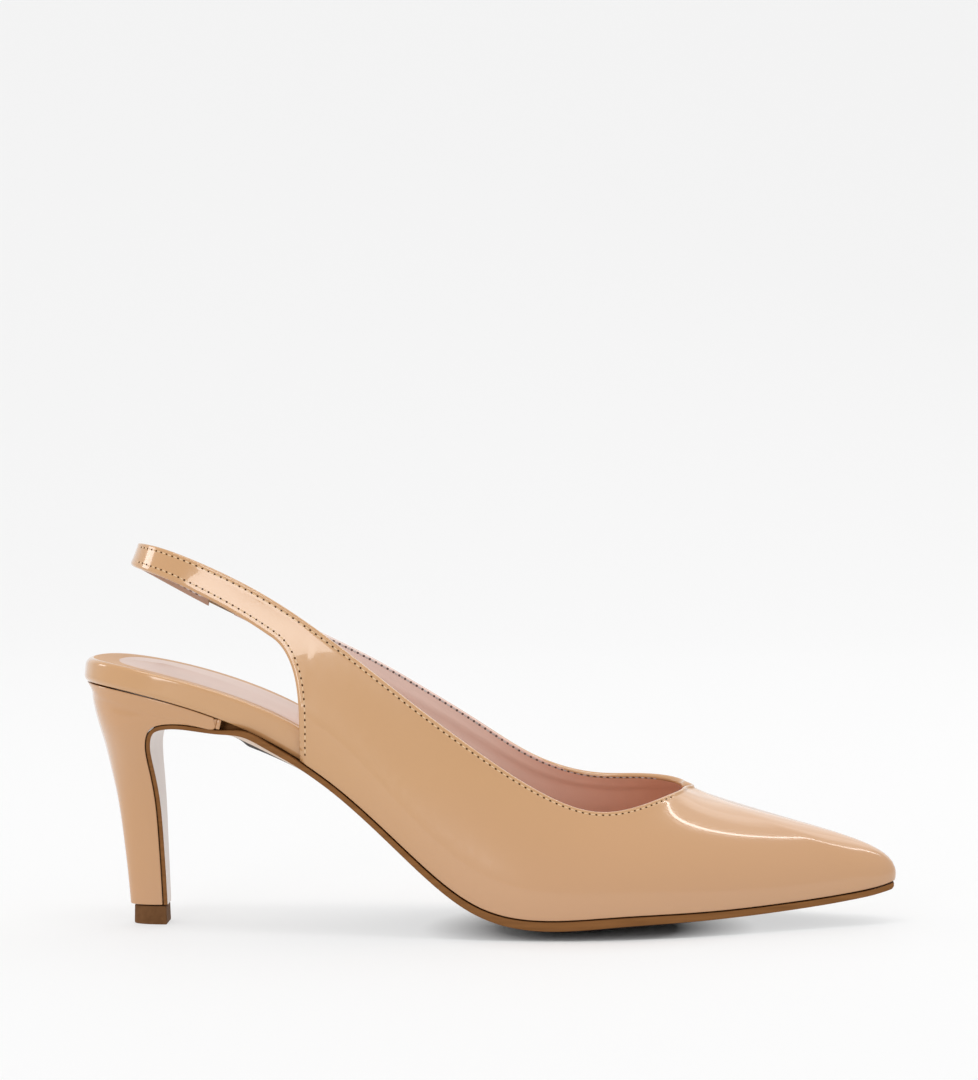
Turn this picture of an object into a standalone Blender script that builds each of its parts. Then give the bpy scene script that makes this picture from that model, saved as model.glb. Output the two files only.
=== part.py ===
"""Right slingback pump on a slim heel, as separate solids: metres, +X to the toe, +Y inner side, +Z up."""

import math

import bmesh
import bpy
import numpy as np

MM = 0.001

# Driving sizes
LENGTH = 245 * MM  # feather line, back of the seat to the toe tip, measured level
BALL_WIDTH = 74.4 * MM  # feather line across the ball
HEEL_HEIGHT = 74 * MM  # floor to the underside of the insole at the back
INSTEP_HEIGHT = 40.8 * MM  # floor to the front of the throat
SLING_HEIGHT = 115 * MM  # floor to the top of the strap at the back
BACK = -123.4 * MM  # where the feather line starts, so the finished shoe is centred

# Thicknesses and clearances
WALL = 1.6 * MM
SEAM = 0.3 * MM
WELT = 0.5 * MM  # how far the outsole stands proud of the upper
ELASTIC_WIDTH = 6.0 * MM
ELASTIC_WALL = 1.0 * MM
ELASTIC_DROP = 4.1 * MM  # topline to the middle of the elastic
SOCK_WALL = 0.9 * MM
SOCK_MARGIN = 3.4 * MM  # rand left showing round the sock
RAND_ROUND = 2.7 * MM
RAND_ROUND_SHARE = 0.45  # of a thin board that its rolled edge may take
RAND_TUCK = 1.9 * MM  # how far the rand is tucked in at its foot
RAND_BELLY = (0.3, 0.25)  # shares of the tuck and of the board where the rand swells out
FLAP_WALL = 1.2 * MM
FILLER_GAP = 1.6 * MM  # filler under the waist to the lip of the heel
TOP_PIECE_HEIGHT = 5.6 * MM
TOP_PIECE_ROUND = 0.4 * MM
SEAT_MARGIN = 0.8 * MM  # heel cover inside the edge of the rand
CORNER_POWER = 0.8  # how square the rear edge of a quarter turns
TIP_POWER = 0.9  # how square the heel turns at its tip
LIP_POWER = 25  # how short the lip at the throat is

# Cut lines of the quarters and the sling, as shares of LENGTH from the back
OUTER_CORNER = 0.281
OUTER_STRAP = 0.231
INNER_CORNER = 0.285
INNER_STRAP = 0.175
ELASTIC_FRONT = 0.165
ELASTIC_REAR = 0.133
INSOLE_ENDS = (0.030, 0.990)
SOCK_ENDS = (0.055, 0.972)
OUTSOLE_TOE = 0.010
OUTSOLE_REAR = 0.215  # where the outsole leaves the insole for the lip of the heel
SEAT_FRONT = 0.6  # place down a side where the seat begins
LATERAL = 1
MEDIAL = -1
STRAP_WIDTHS = {  # shares of LENGTH from the back, and millimetres down from the topline
    LATERAL: ((0.231, 10.6), (0.100, 8.3), (0.0, 6.8)),
    MEDIAL: ((0.165, 7.4), (0.133, 8.4), (0.0, 6.8)),
}

# Mesh steps
FEATHER_STEPS = 34
REAR_STEPS = 9
STRAP_STEPS = 13
WALL_STEPS = 10
INSOLE_STEPS = 40
SOLE_STEPS = 38
FLAP_STEPS = 20
HEEL_STEPS = 20
HEEL_SIDE_STEPS = 18
BREAST_STEPS = 5
ELASTIC_STEPS = 4
ROLL_STEPS = 3
SOLE_STATIONS = 30
FLAP_STATIONS = 24
SECTION_STEPS = 60
SEARCH_STEPS = 2000
TINY = 0.001  # step along a curve for its direction
EDGE_SHARE = 0.3  # of the width that one edge of a board may take
TOP_CROWDING = 1.6  # how rows of the upper gather towards the topline
OUTSOLE_TOP = (  # across the outsole, lateral to medial, and whether the filler lifts it there
    (-1, 0),
    (-0.9, 0),
    (-0.86, 1),
    (0, 1),
    (0.86, 1),
    (0.9, 0),
    (1, 0),
)
TREAD_SHARES = (1, 0.8, 0.4, 0, -0.4, -0.8, -1)

# Colour and roughness of each piece
TAN = (0.62, 0.37, 0.19)
FINISHES = {
    "upper": (TAN, 0.12),
    "elastic": ((0.30, 0.22, 0.14), 0.7),
    "outsole": ((0.25, 0.12, 0.05), 0.45),
    "insole": (TAN, 0.15),
    "sock": ((0.75, 0.62, 0.58), 0.5),
    "heel": (TAN, 0.12),
    "top_piece": ((0.11, 0.06, 0.03), 0.5),
}


def table(columns, rows):
    """Turn rows of numbers into named columns."""
    return dict(zip(columns.split(), np.array(rows, float).T))


# Feather line, toe to back: shares of LENGTH, half BALL_WIDTH and HEEL_HEIGHT, then millimetres of
# outsole edge, outsole crown below the edge, and insole board
FEATHER = table(
    "along lateral medial height edge crown board",
    [
        (1.000, -0.040, 0.040, 0.169, 1.6, 0.2, 2.2),
        (0.989, 0.070, 0.156, 0.160, 1.6, 0.2, 2.2),
        (0.947, 0.215, 0.312, 0.136, 1.7, 0.4, 2.4),
        (0.865, 0.465, 0.578, 0.112, 1.9, 1.1, 2.6),
        (0.763, 0.769, 0.866, 0.097, 2.1, 2.8, 3.0),
        (0.661, 0.957, 0.992, 0.090, 2.5, 4.0, 3.2),
        (0.571, 1.000, 0.941, 0.080, 2.6, 3.2, 3.4),
        (0.490, 0.952, 0.812, 0.142, 2.0, 1.5, 4.2),
        (0.408, 0.866, 0.707, 0.356, 1.6, 0.4, 6.0),
        (0.327, 0.780, 0.661, 0.594, 1.5, 0.5, 7.8),
        (0.253, 0.726, 0.667, 0.757, 1.6, 3.8, 8.2),
        (0.171, 0.707, 0.688, 0.881, 1.6, 3.8, 7.6),
        (0.090, 0.672, 0.667, 0.959, 1.6, 0.9, 7.1),
        (0.029, 0.470, 0.470, 0.995, 1.6, 0.9, 7.0),
        (0.000, 0.000, 0.000, 1.000, 1.6, 0.9, 7.0),
    ],
)

# Topline over each feather row: shares of LENGTH and half BALL_WIDTH, then the height on each side as
# a share of the way from INSTEP_HEIGHT to SLING_HEIGHT
TOPLINE = table(
    "along lateral medial lateral_height medial_height",
    [
        (0.750, -0.032, 0.032, -0.013, -0.013),
        (0.745, 0.040, 0.108, -0.011, -0.008),
        (0.740, 0.148, 0.215, -0.008, 0.000),
        (0.724, 0.349, 0.376, -0.013, 0.020),
        (0.678, 0.613, 0.548, -0.046, 0.028),
        (0.618, 0.761, 0.645, -0.037, 0.035),
        (0.551, 0.812, 0.688, 0.070, 0.108),
        (0.486, 0.815, 0.688, 0.215, 0.240),
        (0.416, 0.788, 0.667, 0.386, 0.384),
        (0.343, 0.731, 0.634, 0.574, 0.524),
        (0.269, 0.672, 0.602, 0.748, 0.645),
        (0.192, 0.599, 0.551, 0.888, 0.774),
        (0.122, 0.465, 0.444, 0.980, 0.897),
        (0.088, 0.255, 0.255, 1.002, 0.966),
        (0.077, 0.000, 0.000, 0.997, 0.997),
    ],
)

# How each section of the last bends: millimetres out and up from the feather line, then the share of
# the way back out from the topline, the millimetres down from it and the millimetres its lip turns up
BEND = table(
    "flare rise reach drop lip",
    [
        (2.9, 12.0, 0.685, 13.2, 1.45),
        (2.7, 11.0, 0.642, 11.8, 1.41),
        (2.6, 12.5, 0.589, 11.25, 1.16),
        (2.35, 14.2, 0.490, 10.6, 0.58),
        (2.15, 15.6, 0.396, 7.8, 0.15),
        (2.05, 15.2, 0.394, 7.8, 0.0),
        (1.8, 13.6, 0.37, 10.3, 0.0),
        (1.25, 13.0, 0.367, 13.75, 0.0),
        (1.35, 13.6, 0.323, 15.8, 0.0),
        (2.1, 15.2, 0.471, 11.9, 0.0),
        (2.9, 17.8, 0.286, 16.75, 0.0),
        (1.3, 15.3, 0.198, 18.4, 0.0),
        (0.0, 14.0, 0.24, 13.0, 0.0),
        (0.0, 14.0, 0.20, 13.0, 0.0),
        (0.0, 14.0, 0.20, 13.0, 0.0),
    ],
)

# Heel, tip to lip: millimetres from the back of the rand, heights as shares of HEEL_HEIGHT, half width
# in millimetres and how square the section turns
HEEL = table(
    "back back_height front front_height half_width power",
    [
        (12.8, 0.080, 23.0, 0.080, 4.9, 0.90),
        (12.1, 0.203, 22.7, 0.203, 5.3, 0.90),
        (11.1, 0.338, 22.3, 0.338, 6.2, 0.90),
        (9.6, 0.500, 21.7, 0.500, 8.2, 0.90),
        (7.7, 0.635, 20.6, 0.635, 12.0, 0.90),
        (6.1, 0.736, 19.9, 0.730, 16.0, 0.89),
        (4.6, 0.811, 20.8, 0.797, 19.0, 0.87),
        (3.6, 0.865, 23.6, 0.832, 20.6, 0.84),
        (3.0, 0.905, 29.5, 0.842, 21.6, 0.80),
        (2.7, 0.939, 36.5, 0.832, 22.2, 0.75),
        (2.5, 0.966, 41.3, 0.824, 22.8, 0.70),
    ],
)
TOP_PIECE = {"back": 13.9 * MM, "front": 24.3 * MM, "half_width": 5.2 * MM}


class Spline:
    """Curve of even bend through values at rising knots; a period closes it into a loop."""

    def __init__(self, knots, values, period=None):
        self.period = period
        self.knots = np.array(knots, float)
        self.values = np.array(values, float)
        if period:
            self.knots = np.append(self.knots, self.knots[0] + period)
            self.values = np.vstack([self.values, self.values[:1]])
        self.gaps = np.diff(self.knots)
        slopes = np.diff(self.values, axis=0) / self.gaps[:, None]
        count = len(self.knots)
        system = np.zeros((count, count))
        target = np.zeros_like(self.values)
        for row in range(1, count - 1):
            before, after = self.gaps[row - 1], self.gaps[row]
            system[row, row - 1 : row + 2] = before, 2 * (before + after), after
            target[row] = 6 * (slopes[row] - slopes[row - 1])
        system[0, 0] = 1
        if period:
            system[0, -1] = -1
            system[-1, :2] += self.gaps[0] * np.array([2, 1])
            system[-1, -2:] += self.gaps[-1] * np.array([1, 2])
            target[-1] = 6 * (slopes[0] - slopes[-1])
        else:
            system[-1, -1] = 1
        self.bends = np.linalg.solve(system, target)

    def at(self, place):
        """Value at one place or at an array of places."""
        place = np.asarray(place, float)
        if self.period:
            place = (place - self.knots[0]) % self.period + self.knots[0]
        step = np.clip(np.searchsorted(self.knots, place, side="right") - 1, 0, len(self.gaps) - 1)
        gap = self.gaps[step][..., None]
        left = (self.knots[step + 1] - place)[..., None] / gap
        right = 1 - left
        bend = (left**3 - left) * self.bends[step] + (right**3 - right) * self.bends[step + 1]
        return left * self.values[step] + right * self.values[step + 1] + bend * gap**2 / 6


def unit(vectors):
    """Scale vectors to length one."""
    return vectors / np.linalg.norm(vectors, axis=-1, keepdims=True)


def around(outer, inner):
    """Rows of both sides as one loop: toe, lateral, back, medial."""
    return np.concatenate([outer, inner[-2:0:-1]])


def loop_points(rows, outer_height, inner_height):
    """Points of a table round the loop, lateral side towards -Y."""
    along = BACK + rows["along"] * LENGTH
    half = BALL_WIDTH / 2
    outer = np.column_stack([along, -rows["lateral"] * half, outer_height])
    inner = np.column_stack([along, rows["medial"] * half, inner_height])
    return around(outer, inner)


def side_places():
    """Place of each row down one side, 0 at the toe and 1 at the back, even along the outline."""
    out = (FEATHER["lateral"] + FEATHER["medial"]) * BALL_WIDTH / 4
    steps = np.hypot(np.diff(FEATHER["along"] * LENGTH), np.diff(out))
    places = np.append(0, np.cumsum(steps))
    return places / places[-1]


SIDE_PLACES = side_places()
LOOP_PLACES = around(SIDE_PLACES, 2 - SIDE_PLACES)
OUTLINE = Spline(
    LOOP_PLACES,
    loop_points(FEATHER, FEATHER["height"] * HEEL_HEIGHT, FEATHER["height"] * HEEL_HEIGHT),
    period=2,
)
LAYERS = Spline(
    SIDE_PLACES,
    np.column_stack([FEATHER["edge"], FEATHER["crown"], FEATHER["board"]]) * MM,
)


def outward(place):
    """Level unit vectors that point out of the outline."""
    travel = OUTLINE.at(place + TINY) - OUTLINE.at(place - TINY)
    level = np.stack([-travel[..., 1], travel[..., 0], np.zeros_like(travel[..., 0])], axis=-1)
    return unit(level)


def place_of(along):
    """Place on a side whose feather point lies at a share of LENGTH."""
    places = np.linspace(0, 1, SEARCH_STEPS + 1)
    reach = (OUTLINE.at(places)[:, 0] - BACK) / LENGTH
    return float(np.interp(-along, -reach, places))


def section_handles():
    """Four control points of each section of the last, feather line to topline, and its lip."""
    low = OUTLINE.at(LOOP_PLACES)
    climb = SLING_HEIGHT - INSTEP_HEIGHT
    top = loop_points(
        TOPLINE,
        INSTEP_HEIGHT + TOPLINE["lateral_height"] * climb,
        INSTEP_HEIGHT + TOPLINE["medial_height"] * climb,
    )
    bend = {name: around(column, column)[:, None] for name, column in BEND.items()}
    up = np.array([0, 0, 1])
    low_handle = low + bend["flare"] * MM * outward(LOOP_PLACES) + bend["rise"] * MM * up
    span = (low - top) * (1 - up)
    top_handle = top + bend["reach"] * span - bend["drop"] * MM * up
    return np.hstack([low, low_handle, top_handle, top, bend["lip"] * MM * up])


LAST = Spline(LOOP_PLACES, section_handles(), period=2)


def last_point(place, share):
    """Point on the last at a place round the loop and a share of the way up its section."""
    low, low_handle, top_handle, top, lip = np.split(LAST.at(place), 5, axis=-1)
    share = np.asarray(share, float)[..., None]
    rest = 1 - share
    return (
        rest**3 * low
        + 3 * rest**2 * share * low_handle
        + 3 * rest * share**2 * top_handle
        + share**3 * top
        + share**LIP_POWER * lip
    )


def share_below_top(place, drop):
    """Share of a section that lies a given length below the topline."""
    shares = np.linspace(1, 0, SECTION_STEPS + 1)
    points = last_point(np.full(len(shares), place), shares)
    length = np.append(0, np.cumsum(np.linalg.norm(np.diff(points, axis=0), axis=1)))
    return float(np.interp(drop, length, shares))


def strap_low(place):
    """Share of a section where the strap ends below, the strap narrowing towards the back."""
    down_side = 1 - abs(1 - place % 2)
    along, widths = np.transpose(STRAP_WIDTHS[MEDIAL if place % 2 > 1 else LATERAL])
    width = np.interp(down_side, [place_of(share) for share in along], widths) * MM
    return share_below_top(place, float(width))


def cut_columns(corner, strap, side):
    """Loop place and low share of the columns down one side, toe to back, as the pattern is cut."""
    corner_place = place_of(corner)
    strap_place = place_of(strap)
    columns = [(side * place, 0.0) for place in np.linspace(0, corner_place, FEATHER_STEPS + 1)]
    for angle in np.linspace(0, math.pi / 2, REAR_STEPS + 1)[1:]:
        place = side * (strap_place - (strap_place - corner_place) * math.cos(angle) ** CORNER_POWER)
        columns.append((place, math.sin(angle) ** CORNER_POWER * strap_low(place)))
    for place in side * np.linspace(strap_place, 1, STRAP_STEPS + 1)[1:]:
        columns.append((place, strap_low(place)))
    return columns


def make_part(name, mesh):
    """Turn a bmesh into a shaded object with its own material."""
    colour, roughness = FINISHES[name]
    data = bpy.data.meshes.new(name)
    mesh.to_mesh(data)
    mesh.free()
    data.shade_smooth()
    part = bpy.data.objects.new(name, data)
    finish = bpy.data.materials.new(name)
    finish.use_nodes = True
    shader = finish.node_tree.nodes["Principled BSDF"]
    shader.inputs["Base Color"].default_value = (*colour, 1)
    shader.inputs["Roughness"].default_value = roughness
    data.materials.append(finish)
    SHOE.objects.link(part)
    return part


def sheet(columns):
    """Open surface through columns of points."""
    mesh = bmesh.new()
    grid = [[mesh.verts.new(point) for point in column] for column in columns]
    for here, there in zip(grid, grid[1:]):
        for row in range(len(here) - 1):
            mesh.faces.new((here[row], here[row + 1], there[row + 1], there[row]))
    return mesh


def loft(rings):
    """Closed solid through rings of points, capped at both ends."""
    mesh = bmesh.new()
    grid = [[mesh.verts.new(point) for point in ring] for ring in rings]
    count = len(grid[0])
    for here, there in zip(grid, grid[1:]):
        for step in range(count):
            after = (step + 1) % count
            mesh.faces.new((here[step], here[after], there[after], there[step]))
    mesh.faces.new(grid[0])
    mesh.faces.new(grid[-1])
    bmesh.ops.recalc_face_normals(mesh, faces=mesh.faces)
    return mesh


def thicken(part, wall):
    """Give an open surface a wall on its inner side."""
    shell = part.modifiers.new("wall", "SOLIDIFY")
    shell.thickness = wall
    shell.offset = -1
    shell.use_even_offset = True
    shell.use_quality_normals = True


def upper_columns():
    """Columns of the upper from the inner tab round the toe and the sling to the strap end."""
    outer = cut_columns(OUTER_CORNER, OUTER_STRAP, LATERAL)
    inner = cut_columns(INNER_CORNER, INNER_STRAP, MEDIAL)
    tab_place = -place_of(ELASTIC_FRONT)
    end_place = -place_of(ELASTIC_REAR)
    tab = (tab_place, strap_low(tab_place))
    end = (2 + end_place, strap_low(end_place))
    vamp = [column for column in reversed(inner) if tab_place < column[0] < 0]
    sling = [(2 + place, low) for place, low in reversed(inner) if -1 < place < end_place]
    return [tab, *vamp, *outer, *sling, end]


def build_upper():
    """Vamp, quarters and sling strap in one shell."""
    steps = 1 - np.linspace(1, 0, WALL_STEPS + 1) ** TOP_CROWDING
    columns = []
    for place, low in upper_columns():
        columns.append(last_point(np.full(len(steps), place), low + (1 - low) * steps))
    part = make_part("upper", sheet(columns))
    thicken(part, WALL)


def build_elastic():
    """Band that joins the strap end to the inner tab."""
    front = 2 - place_of(ELASTIC_FRONT)
    rear = 2 - place_of(ELASTIC_REAR)
    inset = SEAM / LENGTH * 2
    columns = []
    for place in np.linspace(rear + inset, front - inset, ELASTIC_STEPS + 1):
        drops = ELASTIC_DROP + ELASTIC_WIDTH * np.linspace(0.5, -0.5, ELASTIC_STEPS + 1)
        shares = [share_below_top(place, drop) for drop in drops]
        columns.append(last_point(np.full(len(shares), place), shares))
    grid = np.array(columns)
    normal = unit(np.cross(np.gradient(grid, axis=1), np.gradient(grid, axis=0)))
    depth = (WALL - ELASTIC_WALL) / 2
    part = make_part("elastic", sheet(grid - depth * normal))
    thicken(part, ELASTIC_WALL)


def profile_normal(travel):
    """Unit vectors across a side-view path, towards the foot."""
    level = np.zeros_like(travel)
    level[..., 0] = travel[..., 2]
    level[..., 2] = -travel[..., 0]
    return unit(level)


def board_rings(ends, margin, section):
    """Rings of a sheet that follows the insole: section gives (inset, height) from the edge inwards."""
    rings = []
    for place in np.linspace(*ends, INSOLE_STEPS):
        sides = np.array([place, 2 - place])
        edge = OUTLINE.at(sides) - margin * outward(sides)
        travel = OUTLINE.at(place + TINY) - OUTLINE.at(place - TINY)
        rise = profile_normal(travel)
        across = unit(edge[1] - edge[0])
        width = np.linalg.norm(edge[1] - edge[0])
        board = LAYERS.at(place)[2]
        near = [(min(inset, EDGE_SHARE * width), height) for inset, height in section(board)]
        outer = [edge[0] + inset * across + height * rise for inset, height in near]
        inner = [edge[1] - inset * across + height * rise for inset, height in reversed(near)]
        rings.append(outer + inner)
    return rings


def insole_section(board):
    """Half section of the covered insole with its rolled upper edge."""
    roll = min(RAND_ROUND, board * RAND_ROUND_SHARE)
    turn = np.linspace(0, math.pi / 2, ROLL_STEPS + 1)
    rolled = zip(roll * (1 - np.cos(turn)), board - roll * (1 - np.sin(turn)))
    belly = (RAND_TUCK * RAND_BELLY[0], board * RAND_BELLY[1])
    return [(RAND_TUCK, 0), belly, *rolled, (3 * roll, board)]


def sock_section(board):
    """Half section of the sock on top of the insole."""
    low = board + SEAM
    top = low + SOCK_WALL
    return [(0, low), (0, (low + top) / 2), (SOCK_WALL, top), (5 * SOCK_WALL, top)]


def build_insole():
    """Covered board whose edge is the rand behind the quarters."""
    rings = board_rings(INSOLE_ENDS, WALL + SEAM, insole_section)
    make_part("insole", loft(rings))


def build_sock():
    """Pale pad the foot stands on."""
    rings = board_rings(SOCK_ENDS, WALL + SEAM + SOCK_MARGIN, sock_section)
    make_part("sock", loft(rings))


RAND_BACK = BACK + WALL + SEAM
SEAT_PLACES = np.linspace(SEAT_FRONT, 1, SEARCH_STEPS + 1)


def seat_half_width(reach):
    """Half width of the seat inside the rand at distances along the shoe, lateral then medial."""
    halves = []
    for side in (SEAT_PLACES, 2 - SEAT_PLACES):
        edge = OUTLINE.at(side) - (WALL + SEAM + SEAT_MARGIN) * outward(side)
        halves.append(np.interp(-reach, -edge[:, 0], np.abs(edge[:, 1])))
    return halves


def seat_height(reach):
    """Underside of the insole at distances along the shoe."""
    points = OUTLINE.at(SEAT_PLACES)
    return np.interp(-reach, -points[:, 0], points[:, 2])


def d_shape(front, back, half_width, power):
    """Distances along and across of a D: flat at the front, round at the back."""
    turn = np.linspace(-math.pi / 2, math.pi / 2, HEEL_SIDE_STEPS + 1)
    along = front + (back - front) * np.cos(turn) ** power
    across = half_width * np.sign(turn) * np.abs(np.sin(turn)) ** power
    flat = np.linspace(half_width, -half_width, BREAST_STEPS + 1)[1:-1]
    return np.append(along, np.full(len(flat), front)), np.append(across, flat)


def heel_rings():
    """Rings of the heel, tip to seat."""
    rings = []
    for row in zip(*HEEL.values()):
        back, back_height, front, front_height, half_width, power = row
        along, across = d_shape(front, back, half_width, power)
        share = (along - front) / (back - front)
        height = (front_height + (back_height - front_height) * share) * HEEL_HEIGHT
        rings.append(np.column_stack([RAND_BACK + along * MM, across * MM, height]))
    lip = HEEL["front"][-1] * MM
    along, across = d_shape(lip, SEAT_MARGIN, 1.0, HEEL["power"][-1])
    reach = RAND_BACK + along
    outer, inner = seat_half_width(reach)
    flat = np.sign(across) * np.where(np.isclose(along, lip), np.abs(across), 1)
    width = np.where(across < 0, outer, inner) * flat
    width[HEEL_SIDE_STEPS // 2] = 0
    rings.append(np.column_stack([reach, width, seat_height(reach) - SEAM]))
    levels = Spline(range(len(rings)), np.reshape(rings, (len(rings), -1)))
    return [levels.at(level).reshape(-1, 3) for level in np.linspace(0, len(rings) - 1, HEEL_STEPS + 1)]


def build_heel():
    """Covered heel with its hollow breast and front lip."""
    make_part("heel", loft(heel_rings()))


def build_top_piece():
    """Wear piece under the heel tip."""
    along, across = d_shape(TOP_PIECE["front"], TOP_PIECE["back"], TOP_PIECE["half_width"], TIP_POWER)
    rings = []
    for height in (0, TOP_PIECE_HEIGHT):
        rings.append(np.column_stack([RAND_BACK + along, across, np.full(len(along), height)]))
    part = make_part("top_piece", loft(rings))
    edge = part.modifiers.new("edge", "BEVEL")
    edge.width = TOP_PIECE_ROUND
    edge.segments = 2


def outsole_path():
    """Top line of the outsole: place, lateral and medial reach, edge and crown from toe to heel tip."""
    places = np.linspace(OUTSOLE_TOE, place_of(OUTSOLE_REAR), SOLE_STATIONS)
    outer = OUTLINE.at(places) + WELT * outward(places)
    inner = OUTLINE.at(2 - places) + WELT * outward(2 - places)
    travel = OUTLINE.at(places + TINY) - OUTLINE.at(places - TINY)
    middle = (outer + inner) / 2 - SEAM * profile_normal(travel)
    layers = LAYERS.at(places)
    sole = np.column_stack([middle[:, [0, 2]], outer[:, 1], inner[:, 1], layers[:, :2]])
    front = np.column_stack([RAND_BACK + HEEL["front"] * MM, HEEL["front_height"] * HEEL_HEIGHT])
    rows = Spline(range(len(front)), np.column_stack([front, HEEL["half_width"] * MM]))
    levels = np.linspace(len(front) - 1, 0, FLAP_STATIONS)
    lip = rows.at(levels)
    step = rows.at(levels - TINY) - rows.at(levels + TINY)
    travel = np.column_stack([step[:, 0], np.zeros(len(step)), step[:, 1]])
    clear = SEAM * profile_normal(travel)
    width = lip[:, 2] - SEAM
    thin = np.full(len(lip), FLAP_WALL)
    flap = np.column_stack(
        [lip[:, 0] - clear[:, 0], lip[:, 1] - clear[:, 2], -width, width, thin, np.zeros(len(lip))]
    )
    rows = np.vstack([sole, flap])
    length = np.append(0, np.cumsum(np.linalg.norm(np.diff(rows[:, :2], axis=0), axis=1)))
    return length, Spline(length, rows)


def outsole_rings():
    """Rings of the outsole across its path, filled up to the insole in front of the lip of the heel."""
    length, path = outsole_path()
    turn = length[SOLE_STATIONS] - FILLER_GAP
    sole_places = np.linspace(0, turn, SOLE_STEPS + 1)
    flap_places = np.linspace(turn + SEAM / 2, length[-1], FLAP_STEPS + 1)
    rings = []
    for place in np.append(sole_places, flap_places):
        reach, height, outer, inner, edge, crown = path.at(place)
        step = path.at(place + TINY * LENGTH) - path.at(place - TINY * LENGTH)
        rise = profile_normal(np.array([step[0], 0, step[1]]))
        middle = np.array([reach, (outer + inner) / 2, height])
        half = np.array([0, (inner - outer) / 2, 0])
        gap = (seat_height(reach) - height) * rise[2] - SEAM
        filler = max(gap, 0) if place <= turn and reach < OUTLINE.at(SEAT_FRONT)[0] else 0
        ring = [middle + share * half + lifted * filler * rise for share, lifted in OUTSOLE_TOP]
        for share in TREAD_SHARES:
            ring.append(middle + share * half - (edge + crown * (1 - share**2)) * rise)
        rings.append(ring)
    return rings


def build_outsole():
    """Outsole from the toe to the foot of the breast, with the flat spot it stands on."""
    part = make_part("outsole", loft(outsole_rings()))
    floor = bmesh.new()
    bmesh.ops.create_cube(floor, size=LENGTH)
    bmesh.ops.translate(floor, verts=floor.verts, vec=(0, 0, -LENGTH / 2))
    data = bpy.data.meshes.new("floor_cutter")
    floor.to_mesh(data)
    floor.free()
    cutter = bpy.data.objects.new("floor_cutter", data)
    cutter.hide_render = True
    cutter.display_type = "WIRE"
    CUTTERS.objects.link(cutter)
    flat = part.modifiers.new("flat_spot", "BOOLEAN")
    flat.operation = "DIFFERENCE"
    flat.solver = "EXACT"
    flat.object = cutter


for leftover in list(bpy.data.objects):
    bpy.data.objects.remove(leftover)
SHOE = bpy.data.collections.new("slingback_pump")
CUTTERS = bpy.data.collections.new("cutters")
for group in (SHOE, CUTTERS):
    bpy.context.scene.collection.children.link(group)

build_outsole()
build_insole()
build_sock()
build_upper()
build_elastic()
build_heel()
build_top_piece()
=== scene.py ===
"""Looks of the right slingback pump: patent upper, covered heel and rand, sock, outsole, light and camera.

Sizes repeat those of the part's source, in metres: +X to the toe, +Y to the inner side, +Z up.
"""

import logging
import math
from collections.abc import Callable, Sequence
from dataclasses import dataclass, field
from enum import Enum
from functools import cache

import bmesh
import bpy
import numpy as np
from mathutils import Matrix, Vector
from mathutils.bvhtree import BVHTree
from mathutils.kdtree import KDTree


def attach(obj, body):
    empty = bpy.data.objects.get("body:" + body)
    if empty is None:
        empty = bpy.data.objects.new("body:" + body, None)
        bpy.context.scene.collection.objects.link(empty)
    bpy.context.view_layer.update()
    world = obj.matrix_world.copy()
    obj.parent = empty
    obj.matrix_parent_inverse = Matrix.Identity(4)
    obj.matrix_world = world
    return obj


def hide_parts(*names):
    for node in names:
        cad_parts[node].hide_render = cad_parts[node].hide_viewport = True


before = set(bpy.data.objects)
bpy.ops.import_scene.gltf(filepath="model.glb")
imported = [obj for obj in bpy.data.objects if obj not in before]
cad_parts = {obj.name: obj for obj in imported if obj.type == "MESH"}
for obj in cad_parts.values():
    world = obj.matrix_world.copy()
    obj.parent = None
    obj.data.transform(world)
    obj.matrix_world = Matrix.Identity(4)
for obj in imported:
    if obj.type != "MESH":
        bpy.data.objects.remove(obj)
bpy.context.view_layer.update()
LOG = logging.getLogger("slingback_pump")
BODY = "root"
MM = 0.001
MERGE = 1e-6
COLLAPSE = 1e-7

Array = np.ndarray
Triple = tuple[float, float, float]
Colour = Triple
Point = Triple
Pairs = tuple[tuple[float, float], ...]
Mesh = bmesh.types.BMesh
Material = bpy.types.Material
Socket = bpy.types.NodeSocket


def table(columns: str, rows: Sequence[Sequence[float]]) -> dict[str, Array]:
    """Turn rows of numbers into named columns.

    Args:
        columns: Column names, parted by spaces.
        rows: One row of numbers for each section.

    Returns:
        One array for each column name.
    """
    return dict(zip(columns.split(), np.array(rows, float).T))


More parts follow.
